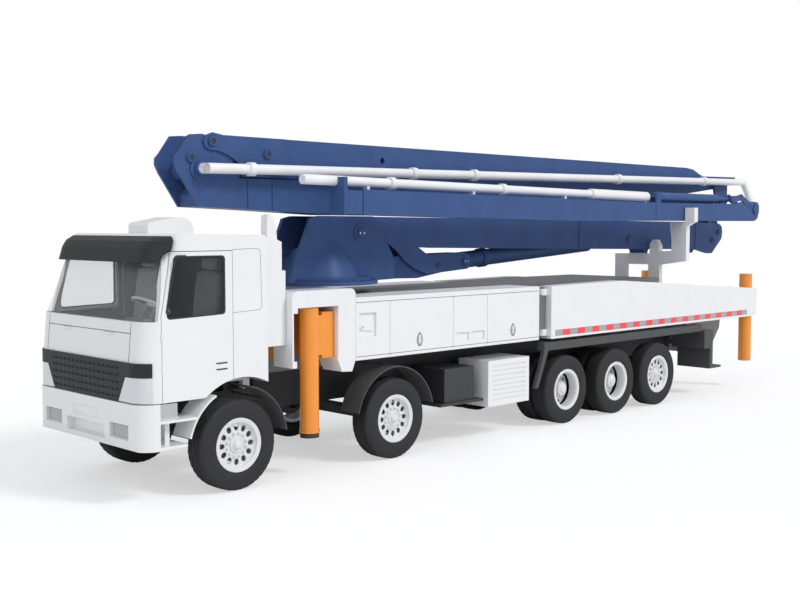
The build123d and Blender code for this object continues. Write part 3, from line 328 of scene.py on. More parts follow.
def spokes(axis, count):
    """The axis and the directions square to it, evenly round it, all of length one."""
    axis = Vector(axis).normalized()
    side = axis.orthogonal().normalized()
    up = axis.cross(side)
    return axis, [side * math.cos(turn) + up * math.sin(turn) for turn in turns(count)]


class Form:
    """A mesh in the making; the number after each shape picks its material."""

    def __init__(self):
        self.mesh = bmesh.new()

    def skin(self, rings, index):
        """Faces between rings of vertices, each ring as long as the last."""
        for here, there in zip(rings, rings[1:]):
            for i in range(len(here)):
                j = (i + 1) % len(here)
                self.mesh.faces.new((here[i], here[j], there[j], there[i])).material_index = index

    def solid(self, rings, index=0, ends=True):
        """Faces between rings of points, and over the first and last ring."""
        verts = [[self.mesh.verts.new(p) for p in ring] for ring in rings]
        self.skin(verts, index)
        if ends:
            for ring in (verts[0], verts[-1]):
                self.mesh.faces.new(ring).material_index = index

    def block(self, low, high, index=0, edge=0.0):
        """A box between two corners, with its edges rounded off."""
        made = bmesh.ops.create_cube(self.mesh, size=1.0)["verts"]
        for v in made:
            v.co = Vector(low[i] + (high[i] - low[i]) * (v.co[i] + 0.5) for i in range(3))
        for f in {f for v in made for f in v.link_faces}:
            f.material_index = index
        if edge:
            edges = list(dict.fromkeys(e for v in made for e in v.link_edges))
            bmesh.ops.bevel(
                self.mesh, geom=edges, offset=edge, segments=2, affect="EDGES", profile=0.5, material=index
            )

    def prism(self, outline, axis, low, high, index=0):
        """An outline of two coordinates, drawn out along the axis."""
        others = [i for i in range(3) if i != axis]
        rings = []
        for level in (low, high):
            ring = []
            for a, b in outline:
                p = [0.0, 0.0, 0.0]
                p[others[0]], p[others[1]], p[axis] = a, b, level
                ring.append(p)
            rings.append(ring)
        self.solid(rings, index)

    def turned(self, profile, centre, axis, steps=48, index=0, dip=None):
        """A closed profile of (radius, height) turned about an axis; dip lowers the radius at (step, point)."""
        axis, outs = spokes(axis, steps)
        rings = []
        for i, out in enumerate(outs):
            ring = []
            for k, (radius, height) in enumerate(profile):
                r = radius - (dip(i, k) if dip else 0.0)
                ring.append(self.mesh.verts.new(Vector(centre) + out * r + axis * height))
            rings.append(ring)
        self.skin(rings + rings[:1], index)

    def rod(self, centre, axis, radius, low, high, index=0, steps=24, edge=0.0):
        """A round or many-sided bar with eased ends."""
        axis, outs = spokes(axis, steps)
        levels = [(radius, low), (radius, high)]
        if edge:
            levels = [(radius - edge, low), (radius, low + edge), (radius, high - edge), (radius - edge, high)]
        self.solid([[Vector(centre) + axis * h + out * r for out in outs] for r, h in levels], index)

    def done(self, name, body, materials, slot, replaces=(), crease=35.0, clean=True):
        """Turns the form into a piece that rides on a body."""
        if clean:
            bmesh.ops.remove_doubles(self.mesh, verts=self.mesh.verts, dist=1e-6)
        bmesh.ops.recalc_face_normals(self.mesh, faces=self.mesh.faces)
        data = bpy.data.meshes.new(name)
        self.mesh.to_mesh(data)
        self.mesh.free()
        for material in materials:
            data.materials.append(material)
        data.shade_smooth()
        data.set_sharp_from_angle(angle=math.radians(crease))
        piece = bpy.data.objects.new(name, data)
        bpy.context.scene.collection.objects.link(piece)
        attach(piece, body)
        if replaces:
            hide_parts(*replaces)
        return piece


def holed_disc(form, outer, inner, holes, hole_circle, hole_sizes, centre, out, thick):
    """A flat disc across the truck with a bore and a ring of oval holes."""
    curve = bpy.data.curves.new("disc", "CURVE")
    curve.dimensions = "2D"
    curve.fill_mode = "BOTH"
    curve.extrude = thick / 2

    def loop(points):
        spline = curve.splines.new("POLY")
        spline.points.add(len(points) - 1)
        for point, (x, y) in zip(spline.points, points):
            point.co = (x, y, 0, 1)
        spline.use_cyclic_u = True

    for radius, steps in ((outer, 96), (inner, 48)):
        loop([(radius * math.cos(turn), radius * math.sin(turn)) for turn in turns(steps)])
    along, across = hole_sizes
    for turn in turns(holes):
        points = []
        for a in turns(20):
            r, t = hole_circle + along * math.cos(a), across * math.sin(a)
            points.append((r * math.cos(turn) - t * math.sin(turn), r * math.sin(turn) + t * math.cos(turn)))
        loop(points)
    holder = bpy.data.objects.new("disc", curve)
    data = bpy.data.meshes.new_from_object(holder)
    for v in data.vertices:
        v.co = Vector(centre) + Vector((v.co.x, out * v.co.z, v.co.y))
    form.mesh.from_mesh(data)
    bpy.data.objects.remove(holder)
    bpy.data.curves.remove(curve)
    bpy.data.meshes.remove(data)


# Wheels. Profiles are rows of (radius, depth), and out is the way that a wheel faces.

TWIN_AXLES = (3, 4)
TWIN_SPACING = 0.355
TYRE_WIDTH = 0.315


def tyre_form(form, centre, out, groove):
    """One tyre; centre is on the axle at its outer face."""
    drawn_radius, shoulder_dip = 0.540, 0.006
    half = [
        (0.292, 0.024), (0.322, 0.021), (0.329, 0.012), (0.338, 0.005), (0.346, 0.007), (0.352, 0.004),
        (0.395, 0.0), (0.430, 0.0015), (0.468, 0.006), (0.472, 0.009), (0.478, 0.008), (0.500, 0.012),
        (0.520, 0.021), (0.533, 0.034), (0.538, 0.046), (0.5385, 0.070), (0.5385 - groove, 0.073),
        (0.5385 - groove, 0.081), (0.5392, 0.084), (0.540, 0.118), (0.540 - groove, 0.121),
        (0.540 - groove, 0.130), (0.540, 0.133),
    ]
    scale = TYRE_RADIUS / drawn_radius
    profile = [(r * scale, -d) for r, d in half]
    profile += [(r * scale, d - TYRE_WIDTH) for r, d in reversed(half)]
    shoulder = {k for k, (r, d) in enumerate(half) if 0.530 < r < 0.5390 and d < 0.071}
    last = len(profile) - 1
    shoulder |= {last - k for k in shoulder}

    def dip(step, point):
        return shoulder_dip if point in shoulder and step % 4 == 0 else 0.0

    form.turned(profile, centre, (0, out, 0), steps=160, dip=dip)


def flange_form(form, centre, out):
    """The rim's barrel with its two rolled lips."""
    profile = [
        (0.274, -0.300), (0.300, -0.303), (0.317, -0.304), (0.3215, -0.300), (0.3215, -0.296), (0.316, -0.292),
        (0.300, -0.290), (0.289, -0.285), (0.284, -0.240), (0.284, -0.070), (0.289, -0.030), (0.300, -0.025),
        (0.316, -0.023), (0.3215, -0.019), (0.3215, -0.014), (0.317, -0.010), (0.306, -0.009), (0.296, -0.012),
        (0.281, -0.015), (0.270, -0.019), (0.266, -0.026), (0.264, -0.060), (0.270, -0.110), (0.272, -0.240),
    ]
    form.turned(profile, centre, (0, out, 0), steps=96)


def off_axle(centre, radius, turn):
    """A point beside the wheel's centre."""
    return centre + Vector((radius * math.cos(turn), 0, radius * math.sin(turn)))


def nuts(form, centre, out, circle, count, depth):
    """A ring of washers, nuts and stud ends on a disc whose face is at a depth."""
    # Radius, lower and upper end above the disc, sides, eased edge
    parts = ((0.0235, 0.0, 0.006, 20, 0.0015), (0.0165, 0.005, 0.024, 6, 0.0025), (0.009, 0.022, 0.031, 12, 0.002))
    for turn in turns(count, 0.5):
        middle = off_axle(centre, circle, turn)
        for radius, low, high, sides, edge in parts:
            form.rod(middle, (0, out, 0), radius, depth + low, depth + high, steps=sides, edge=edge)


def twin_rim(form, centre, out):
    """The outer disc with its nuts, the hub's cap with its bolts, the inner disc and the drum between them."""
    outer_depth, inner_depth, disc_radius = -0.232, -0.383, 0.272
    holes = (10, 0.215, (0.027, 0.022))
    holed_disc(form, disc_radius, 0.10, *holes, centre + Vector((0, out * outer_depth, 0)), out, 0.016)
    nuts(form, centre, out, 0.1675, 10, outer_depth + 0.008)
    cap = [(0.0, -0.24), (0.128, -0.24), (0.128, -0.205), (0.118, -0.185), (0.112, -0.110), (0.104, -0.098)]
    cap += [(0.070, -0.092), (0.062, -0.080), (0.050, -0.074), (0.0, -0.072)]
    form.turned(cap, centre, (0, out, 0))
    for turn in turns(8):
        form.rod(off_axle(centre, 0.086, turn), (0, out, 0), 0.009, -0.098, -0.086, steps=6, edge=0.002)
    holed_disc(form, disc_radius, 0.08, *holes, centre + Vector((0, out * inner_depth, 0)), out, 0.014)
    drum = [(0.08, -0.372), (0.12, -0.372), (0.12, -0.235), (0.08, -0.235)]
    form.turned(drum, centre, (0, out, 0), steps=40, index=1)


def single_rim(form, centre, out):
    """The disc with its hand holes and rolled edge, the nuts, the hub's cap and the drum behind the holes."""
    depth = -0.074
    holed_disc(form, 0.266, 0.07, 12, 0.206, (0.040, 0.033), centre + Vector((0, out * depth, 0)), out, 0.014)
    ring = [(0.262, -0.067), (0.268, -0.067), (0.268, -0.050), (0.262, -0.052), (0.250, -0.066)]
    form.turned(ring, centre, (0, out, 0), steps=72)
    nuts(form, centre, out, 0.137, 12, depth + 0.007)
    cap = [(0.0, -0.095), (0.098, -0.095), (0.098, -0.058), (0.092, -0.050), (0.078, -0.046), (0.074, -0.052)]
    cap += [(0.058, -0.052), (0.054, -0.036), (0.050, -0.030), (0.040, -0.016), (0.022, -0.008), (0.0, -0.006)]
    form.turned(cap, centre, (0, out, 0))
    drum = [(0.0, -0.245), (0.205, -0.245), (0.205, -0.100), (0.10, -0.092), (0.0, -0.092)]
    form.turned(drum, centre, (0, out, 0), index=1)


class TRUCK_OT_wheels(bpy.types.Operator):
    """Adds the ten wheels' tyres with tread and their rims with nuts and hubs"""

    bl_idname = "truck.wheels"
    bl_label = "Wheels"

    def execute(self, context):
        rubber = finish("rubber", paints().tyre, 0.72, grain=0.28, grain_scale=420, shade=0.12, shade_scale=9)
        white = rim_paint()
        dark = finish("drum_iron", (0.105, 0.105, 0.108), 0.55, metal=0.3, grain=0.15, grain_scale=200, shade=0.12)
        for number in range(1, 6):
            for side_name, out in SIDES.items():
                self.wheel(number, side_name, out, rubber, [white, dark])
        return {"FINISHED"}

    def wheel(self, number, side_name, out, rubber, rim_materials):
        body = f"wheel_{number}_{side_name}"
        low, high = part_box(body)
        centre = Vector(((low.x + high.x) / 2, high.y if out > 0 else low.y, AXLE_HEIGHT))
        twin = number in TWIN_AXLES
        tyres, rims = Form(), Form()
        for depth in (0.0, -TWIN_SPACING) if twin else (0.0,):
            face = centre + Vector((0, out * depth, 0))
            tyre_form(tyres, face, out, sizes().groove)
            flange_form(rims, face, out)
        if twin:
            twin_rim(rims, centre, out)
        else:
            single_rim(rims, centre, out)
        tyres.done(f"tyre_{number}_{side_name}", body, [rubber], "tyre", [body], crease=28)
        rims.done(f"rim_{number}_{side_name}", body, rim_materials, "white_paint", [body], crease=30)


# Finishes of the frame's own pieces


class TRUCK_OT_paint(bpy.types.Operator):
    """Gives every CAD piece its finish"""

    bl_idname = "truck.paint"
    bl_label = "Paint"

    def execute(self, context):
        slots = {
            "white_paint": white_paint(),
            "blue_paint": blue_paint(),
            "orange_paint": orange_paint(),
            "dark_plastic": dark_plastic(),
            "frame_black": frame_paint(),
            "glass": screen_glass(),
            "lamp_glass": finish(
                "lamp_lens", (0.70, 0.71, 0.72), 0.14, coat=0.8, grain=0.02, grain_scale=90, shade=0.03
            ),
            "seat_fabric": seat_cloth(),
            "engine_iron": finish(
                "cast_iron", (0.06, 0.062, 0.066), 0.62, metal=0.3, grain=0.4, grain_scale=120, shade=0.2
            ),
            "deck_grey": tread_plate(),
            "guard_grey": finish("guard_plastic", paints().guard, 0.55, grain=0.15, grain_scale=700, shade=0.05),
            "tank_black": finish(
                "tank_paint", (0.03, 0.03, 0.032), 0.42, coat=0.2, grain=0.05, grain_scale=200, shade=0.08
            ),
            "rest_grey": finish(
                "rest_paint", (0.84, 0.84, 0.84), 0.42, coat=0.2, grain=0.05, grain_scale=200, shade=0.03
            ),
            "pipe_white": finish(
                "pipe_paint", (0.86, 0.865, 0.87), 0.38, coat=0.25, grain=0.06, grain_scale=160, shade=0.03
            ),
            "chrome_rod": finish(
                "rod_chrome", (0.66, 0.67, 0.69), 0.12, metal=1.0, grain=0.02, grain_scale=500, shade=0.02
            ),
            "tyre": frame_paint(),
        }
        pump = finish("pump_paint", (0.23, 0.235, 0.24), 0.45, coat=0.15, grain=0.08, grain_scale=150, shade=0.06)
        foot = finish("foot_iron", (0.045, 0.045, 0.047), 0.5, metal=0.2, grain=0.1, grain_scale=240, shade=0.08)
        own = {"pump_unit": pump, "hopper": pump, "engine": slots["engine_iron"], "outrigger_frame": portal_paint()}
        own.update({f"front_jack_{side_name}": foot for side_name in SIDES})
        for part in frame["record"]["subparts"]:
            piece = cad_nodes[part["node"]]
            material = own.get(part["node"], slots[part["material_slot"]])
            if not piece.material_slots:
                piece.data.materials.append(material)
            for slot in piece.material_slots:
                slot.material = material
        return {"FINISHED"}


# Cab


def rounded(points, radius, steps=6):
    """The same outline with its corners rounded off."""
    result = []
    for before, here, after in zip(points[-1:] + points[:-1], points, points[1:] + points[:1]):
        corner = Vector(here)
        one, two = Vector(before) - corner, Vector(after) - corner
        reach = min(radius / math.tan(one.angle(two) / 2), one.length * 0.48, two.length * 0.48)
        start, end = corner + one.normalized() * reach, corner + two.normalized() * reach
        for k in range(steps + 1):
            t = k / steps
            result.append(tuple(start * (1 - t) ** 2 + corner * 2 * t * (1 - t) + end * t * t))
    return result


class TRUCK_OT_cab_outside(bpy.types.Operator):
    """Adds the door glass, its rubber, panel seams, bonnet latches, lamps and the grille's ribs"""

    bl_idname = "truck.cab_outside"
    bl_label = "Cab outside"

    def execute(self, context):
        self.door_glass()
        self.seams()
        self.front()
        return {"FINISHED"}

    def door_glass(self):
        window = rounded([(0.175, 2.080), (0.175, 2.775), (0.842, 2.775), (0.979, 2.160), (0.980, 2.056)], 0.050)
        rubber = finish("window_rubber", (0.025, 0.025, 0.026), 0.6, grain=0.1, grain_scale=500, shade=0.06)
        middle_x = sum(x for x, z in window) / len(window)
        middle_z = sum(z for x, z in window) / len(window)
        pane_y = HALF_WIDTH - 0.030
        # The rubber's section: how far inside the opening, and how far from the lockers' face
        section = ((0.0, -0.014), (0.0, -0.040), (0.035, -0.040), (0.035, -0.024), (0.02, -0.015))
        for side_name, out in SIDES.items():
            body = f"cab_door_{side_name}"
            pane = Form()
            pane.prism(outline_at(window), 1, out * pane_y, out * (pane_y - sizes().glass))
            pane.done(f"door_glass_{side_name}", body, [door_window_glass()], "glass")
            band = Form()
            rings = []
            for shrink, depth in section:
                ring = []
                for x, z in window:
                    dx, dz = middle_x - x, middle_z - z
                    length = math.hypot(dx, dz)
                    spot = (x + dx / length * shrink, out * (HALF_WIDTH + depth), z + dz / length * shrink)
                    ring.append(at(*spot))
                rings.append(ring)
            band.solid(rings + rings[:1], ends=False)
            band.done(f"window_rubber_{side_name}", body, [rubber], "dark_plastic")

    def seams(self):
        """The line round the sleeper's side panel, and the two ribs of each door's grip."""
        dark = seam_black()
        half_line = sizes().seam / 2 * 0.6
        path = [(0.078, 2.828), (-0.270, 2.838), (-0.303, 2.825), (-0.315, 2.79), (-0.332, 2.19), (-0.325, 2.145)]
        path += [(-0.295, 2.115), (0.078, 2.100)]
        grip_rear, grip_front, grip_half, point = 0.165, 0.325, 0.008, 0.01
        for side_name, out in SIDES.items():
            sleeper = Form()
            for (x0, z0), (x1, z1) in zip(path, path[1:]):
                along = Vector((x1 - x0, 0, z1 - z0)).normalized()
                across = Vector((-along.z, 0, along.x)) * half_line
                a, b = at(x0, 0, z0), at(x1, 0, z1)
                outline = [a - across, b - across, b + across, a + across]
                y_pair = out * (HALF_WIDTH - 0.0125), out * (HALF_WIDTH - 0.0112)
                sleeper.prism([(p.x, p.z) for p in outline], 1, *y_pair)
            sleeper.done(f"side_seam_{side_name}", "chassis", [dark], "dark_plastic", clean=False)
            grip = Form()
            for z in (1.460, 1.530):
                low, high = z - grip_half, z + grip_half
                rib = [(grip_rear + point, low), (grip_front - point, low), (grip_front, low + point)]
                rib += [(grip_front - point, high), (grip_rear + point, high), (grip_rear, high - point)]
                grip.prism(outline_at(rib), 1, out * (HALF_WIDTH - 0.016), out * (HALF_WIDTH - 0.0085))
            grip.done(f"door_grip_{side_name}", f"cab_door_{side_name}", [dark], "dark_plastic")

    def front(self):
        dark = seam_black()
        width = sizes().seam / 2
        bonnet_top, bonnet_half, proud, sunk = 1.915, 0.940, 0.0015, 0.012

        def front_x(z):
            """The cab's front face, which leans back above a height of 1.61 m."""
            return CAB_FACE - 0.040 * max(0.0, z - 1.61) / 0.42

        lines = Form()
        x = front_x(bonnet_top)
        lines.block(at(x - sunk, -bonnet_half, bonnet_top - width), at(x + proud, bonnet_half, bonnet_top + width))
        heights = (1.60, 1.61, bonnet_top, 2.03)
        upright = [(front_x(z) + proud, z) for z in heights] + [(front_x(z) - sunk, z) for z in reversed(heights)]
        for out in SIDES.values():
            lines.prism(outline_at(upright), 1, out * (bonnet_half - width), out * (bonnet_half + width))
        lines.done("bonnet_seams", "chassis", [dark], "dark_plastic", clean=False)
        latches = Form()
        x = front_x(1.91)
        for y in (-0.475, 0.475):
            latches.block(at(x - 0.004, y - 0.10, 1.878), at(x + 0.024, y + 0.10, 1.906), edge=0.006)
            # Below each latch a thin dark block, painted shadow cast by the latch onto the cab front
            latches.block(at(x - 0.012, y - 0.085, 1.860), at(x + 0.0012, y + 0.085, 1.879), 1)
        latches.done("bonnet_latches", "chassis", [white_paint(), dark], "white_paint")
        self.ribs(dark)
        self.bumper_lamps()

    def ribs(self, dark):
        """Upright ribs on the grille, shorter where its lower corners are cut off."""
        ribs = Form()
        low, high, corner_start, corner_slope = 1.165, 1.585, 0.735, 1.81
        for k in range(17):
            y = -0.80 + 0.10 * k
            foot = low + max(0.0, abs(y) - corner_start) * corner_slope
            ribs.block(at(GRILLE_FACE - 0.010, y - 0.005, foot), at(GRILLE_FACE + 0.0006, y + 0.005, high))
        ribs.done("grille_ribs", "chassis", [dark], "dark_plastic", clean=False)

    def bumper_lamps(self):
        """Two lamps with bright bars in the bumper's recesses, and the blank number plate."""
        lamps = Form()
        for out in SIDES.values():
            y_low, y_high = sorted((out * 0.575, out * 0.945))
            lamps.block(at(BUMPER_FACE - 0.042, y_low, 0.742), at(BUMPER_FACE - 0.028, y_high, 0.888), edge=0.004)
            for k in range(5):
                z = 0.765 + 0.025 * k
                low, high = at(BUMPER_FACE - 0.030, y_low + 0.01, z), at(BUMPER_FACE - 0.0255, y_high - 0.01, z + 0.006)
                lamps.block(low, high, 1)
        lamps.block(at(BUMPER_FACE - 0.009, -0.26, 0.905), at(BUMPER_FACE - 0.0055, 0.26, 1.015), 2, edge=0.0012)
        materials = [lamp_grey(), bright_steel(), white_paint()]
        lamps.done("bumper_lamps", "chassis", materials, "lamp_glass", clean=False)


def crowned_pad(name, centre, half, tilt=0.0, channels=0):
    """A stuffed pad: a rounded block with crowned faces, sewn channels and a piped edge."""
    steps, corner_power, crown, channel_depth, channel_width = 26, 3.2, 0.18, 0.10, 0.10
    form = Form()
    made = bmesh.ops.create_grid(form.mesh, x_segments=steps, y_segments=steps, size=1.0)["verts"]
    turn = Matrix.Rotation(tilt, 3, "Y")

    def place(u, v, level):
        edge = max(abs(u), abs(v))
        inset = 1.0 - 0.055 * (abs(u * v) ** corner_power)
        bulge = (1 - abs(u) ** 4) * (1 - abs(v) ** 4)
        phase = (v * 0.5 + 0.5) * channels
        drop = 0.0
        if level > 0 and 0 < round(phase) < channels and edge < 0.93:
            drop = channel_depth * math.exp(-(((phase - round(phase)) / channel_width) ** 2))
        height = level * (0.62 + crown * bulge + 0.2 * min(1.0, (1 - edge) * 9) - drop)
        return Vector(centre) + turn @ Vector((u * half[0] * inset, v * half[1] * inset, height * half[2]))

    under = {}
    for vert, (u, v) in {vert: (vert.co.x, vert.co.y) for vert in made}.items():
        vert.co = place(u, v, 1.0)
        under[vert] = form.mesh.verts.new(place(u, v, -1.0))
    for f in list(form.mesh.faces):
        form.mesh.faces.new([under[v] for v in reversed(f.verts)])
    border = [e for e in form.mesh.edges if len(e.link_faces) == 1 and e.verts[0] in under and e.verts[1] in under]
    for a, b in [e.verts for e in border]:
        form.mesh.faces.new((a, b, under[b], under[a]))
    piece = form.done(name, "chassis", [seat_cloth()], "seat_fabric", crease=70)


class TRUCK_OT_cab_inside(bpy.types.Operator):
    """Adds the seats' cushions on their bases, the trim panels, instruments and the steering wheel's grip"""

    bl_idname = "truck.cab_inside"
    bl_label = "Cab inside"

    def execute(self, context):
        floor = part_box("seats")[0].z
        for side_name, out in SIDES.items():
            self.seat(side_name, out * 0.67, floor)
        self.trim()
        self.instruments()
        self.steering()
        return {"FINISHED"}

    def seat(self, side_name, y, floor):
        base = Form()
        base.block(at(0.16, y - 0.20, floor), at(0.50, y + 0.20, floor + 0.20), edge=0.02)
        base.block(at(0.10, y - 0.235, floor + 0.20), at(0.58, y + 0.235, floor + 0.285), edge=0.03)
        for arm in (y - 0.262, y + 0.262):
            base.block(at(0.10, arm - 0.022, floor + 0.50), at(0.42, arm + 0.022, floor + 0.545), edge=0.012)
            base.block(at(0.08, arm - 0.014, floor + 0.30), at(0.13, arm + 0.014, floor + 0.52), edge=0.008)
        base.done(f"seat_base_{side_name}", "chassis", [frame_paint()], "frame_black", ["seats"])
        cushion, back, rest = (at(x, y, floor + z) for x, z in ((0.355, 0.365), (0.024, 0.780), (-0.024, 1.245)))
        crowned_pad(f"seat_cushion_{side_name}", cushion, (0.265, 0.248, 0.095), channels=4)
        crowned_pad(f"seat_back_{side_name}", back, (0.385, 0.236, 0.082), tilt=math.radians(-97), channels=5)
        crowned_pad(f"head_rest_{side_name}", rest, (0.070, 0.150, 0.055), tilt=math.radians(-96))

    def trim(self):
        """The lining of the cab's rear, roof, sides and floor, and the doors' cards with their arm rests."""
        trim = trim_grey()
        rear, floor, roof, wall = -0.369, 1.4015, 2.909, (1.176, 1.187)
        lining = Form()
        lining.block(at(rear, -1.16, 1.42), at(rear + 0.008, 1.16, roof - 0.004), edge=0.002)
        lining.block(at(rear + 0.01, -1.10, roof - 0.011), at(0.70, 1.10, roof), edge=0.002)
        for out in SIDES.values():
            y_low, y_high = sorted(out * y for y in wall)
            lining.block(at(rear + 0.01, y_low, 1.42), at(0.070, y_high, 2.86), edge=0.002)
        lining.block(at(rear + 0.01, -1.16, floor), at(1.0, 1.16, floor + 0.0085), edge=0.002)
        lining.block(at(rear + 0.01, -1.10, 1.72), at(-0.10, 1.10, 1.86), edge=0.03)
        lining.done("cab_lining", "chassis", [trim], "dark_plastic", clean=False)
        panel = [(0.10, 1.46), (0.10, 2.05), (1.02, 2.03), (1.02, 1.46)]
        post = [(0.10, 2.05), (0.10, 2.80), (0.155, 2.80), (0.155, 2.05)]
        for side_name, out in SIDES.items():
            card = Form()
            for outline in (panel, post):
                card.prism(outline_at(outline), 1, *sorted(out * y for y in wall))
            y_low, y_high = sorted((out * 1.12, out * 1.178))
            card.block(at(0.25, y_low, 1.70), at(0.80, y_high, 1.76), edge=0.02)
            card.done(f"door_card_{side_name}", f"cab_door_{side_name}", [trim], "dark_plastic", clean=False)

    def instruments(self):
        binnacle = Form()
        binnacle.block(at(0.905, 0.42, 1.915), at(1.03, 0.86, 2.055), edge=0.025)
        binnacle.block(at(0.898, 0.45, 1.935), at(0.908, 0.83, 2.035), 1, edge=0.004)
        for y in (0.53, 0.64, 0.75):
            binnacle.rod(at(0.900, y, 1.985), (-1, 0, 0), 0.036, 0, 0.006, 2, edge=0.001)
        binnacle.block(at(0.868, -0.30, 1.80), at(0.885, 0.20, 1.90), 1, edge=0.004)
        materials = [trim_grey(), seam_black(), lamp_grey()]
        binnacle.done("instruments", "chassis", materials, "dark_plastic", clean=False)

    def steering(self):
        """A pale grip round the steering wheel's rim and the pad at its centre."""
        rim_radius, grip_radius = 0.220, 0.0178
        centre, axis = at(0.800, 0.640, 2.190), (-0.45, 0, 0.89)
        grip = Form()
        section = [(rim_radius + grip_radius * math.cos(turn), grip_radius * math.sin(turn)) for turn in turns(14)]
        grip.turned(section, centre, axis, steps=72)
        pad = [(0.0, -0.024), (0.070, -0.024), (0.078, -0.016), (0.076, 0.020), (0.066, 0.030), (0.0, 0.034)]
        grip.turned(pad, centre, axis)
        pale = finish("grip_grey", (0.50, 0.505, 0.51), 0.55, grain=0.3, grain_scale=900, shade=0.05)
        grip.done("steering_grip", "chassis", [pale], "dark_plastic")


# Sides: lockers, tape, steps


class TRUCK_OT_lockers(bpy.types.Operator):
    """Adds the lockers' long seams, drop-shaped latches and the handle in the square recess"""

    bl_idname = "truck.lockers"
    bl_label = "Lockers"

    def execute(self, context):
        materials = [seam_black(), white_paint(), lamp_grey()]
        half = sizes().seam / 2
        for side_name, out in SIDES.items():
            face = out * HALF_WIDTH
            y_low, y_high = sorted((face - out * 0.004, face + out * 0.0003))
            lines = Form()
            for z in (2.123, 1.425):
                lines.block(at(-5.545, y_low, z - half), at(-1.82, y_high, z + half))
            for x in (-2.975, -4.935):
                self.latch(lines, x, 1.575, face, out)
            lines.done(f"locker_seams_{side_name}", "chassis", materials, "dark_plastic", clean=False)
            self.handle(side_name, face, out)
        return {"FINISHED"}

    def drop(self, x, z, depth, grow):
        """A drop's outline: round below and drawn to a point above."""
        half_width, half_height = 0.058, 0.095
        points = []
        for turn in turns(32):
            narrow = 1.0 - 0.45 * max(0.0, math.sin(turn)) ** 1.5
            wide = half_width * grow * narrow * math.cos(turn)
            points.append(at(x + wide, depth, z + half_height * grow * math.sin(turn)))
        return points

    def latch(self, form, x, z, face, out):
        """A paddle latch in its recess: a dark rim, a pale dish and the paddle."""
        for grow, lift, index in ((1.0, 0.0003, 0), (0.88, 0.0009, 2)):
            form.solid([self.drop(x, z, face - out * 0.002, grow), self.drop(x, z, face + out * lift, grow)], index)
        y_low, y_high = sorted((face, face + out * 0.004))
        form.block(at(x - 0.020, y_low, z - 0.055), at(x + 0.012, y_high, z + 0.060), 1, edge=0.0015)

    def handle(self, side_name, face, out):
        """A round lock with its lever in the square recess."""
        form = Form()
        bottom = face - out * 0.030
        lock = at(-1.945, bottom, 1.800)
        form.rod(lock, (0, out, 0), 0.036, -0.001, 0.018, 0, steps=32, edge=0.004)
        form.rod(lock, (0, out, 0), 0.012, 0.016, 0.022, 1, steps=16, edge=0.001)
        lever = [(-1.965, 1.782), (-1.945, 1.762), (-2.105, 1.742), (-2.122, 1.752), (-2.110, 1.770)]
        form.prism(outline_at(lever), 1, *sorted((bottom - out * 0.001, bottom + out * 0.014)))
        form.done(f"locker_handle_{side_name}", "chassis", [white_paint(), lamp_grey()], "white_paint", clean=False)


class TRUCK_OT_tape(bpy.types.Operator):
    """Adds the red and grey reflecting tape along the rear outrigger beams"""

    bl_idname = "truck.tape"
    bl_label = "Reflecting tape"

    def execute(self, context):
        red = finish("tape_red", paints().tape_red, 0.35, coat=0.5, grain=0.3, grain_scale=700, shade=0.03)
        grey = finish("tape_grey", paints().tape_grey, 0.35, coat=0.5, grain=0.3, grain_scale=700, shade=0.03)
        start, end, middle = -5.95, -11.93, 1.455
        fields = 2 * sizes().tape_rows + 1
        step = (end - start) / fields
        low = middle - sizes().tape_height / 2
        for side_name, out in SIDES.items():
            strip = Form()
            y_low, y_high = sorted((out * (HALF_WIDTH - 0.0006), out * (HALF_WIDTH + 0.0008)))
            for k in range(fields):
                x0, x1 = sorted((start + step * k, start + step * (k + 1)))
                strip.block(at(x0, y_low, low), at(x1, y_high, low + sizes().tape_height), k % 2)
            name, body = f"reflecting_tape_{side_name}", f"rear_beam_{side_name}"
            strip.done(name, body, [grey, red], "orange_paint", clean=False)
        return {"FINISHED"}


# Turret and boom


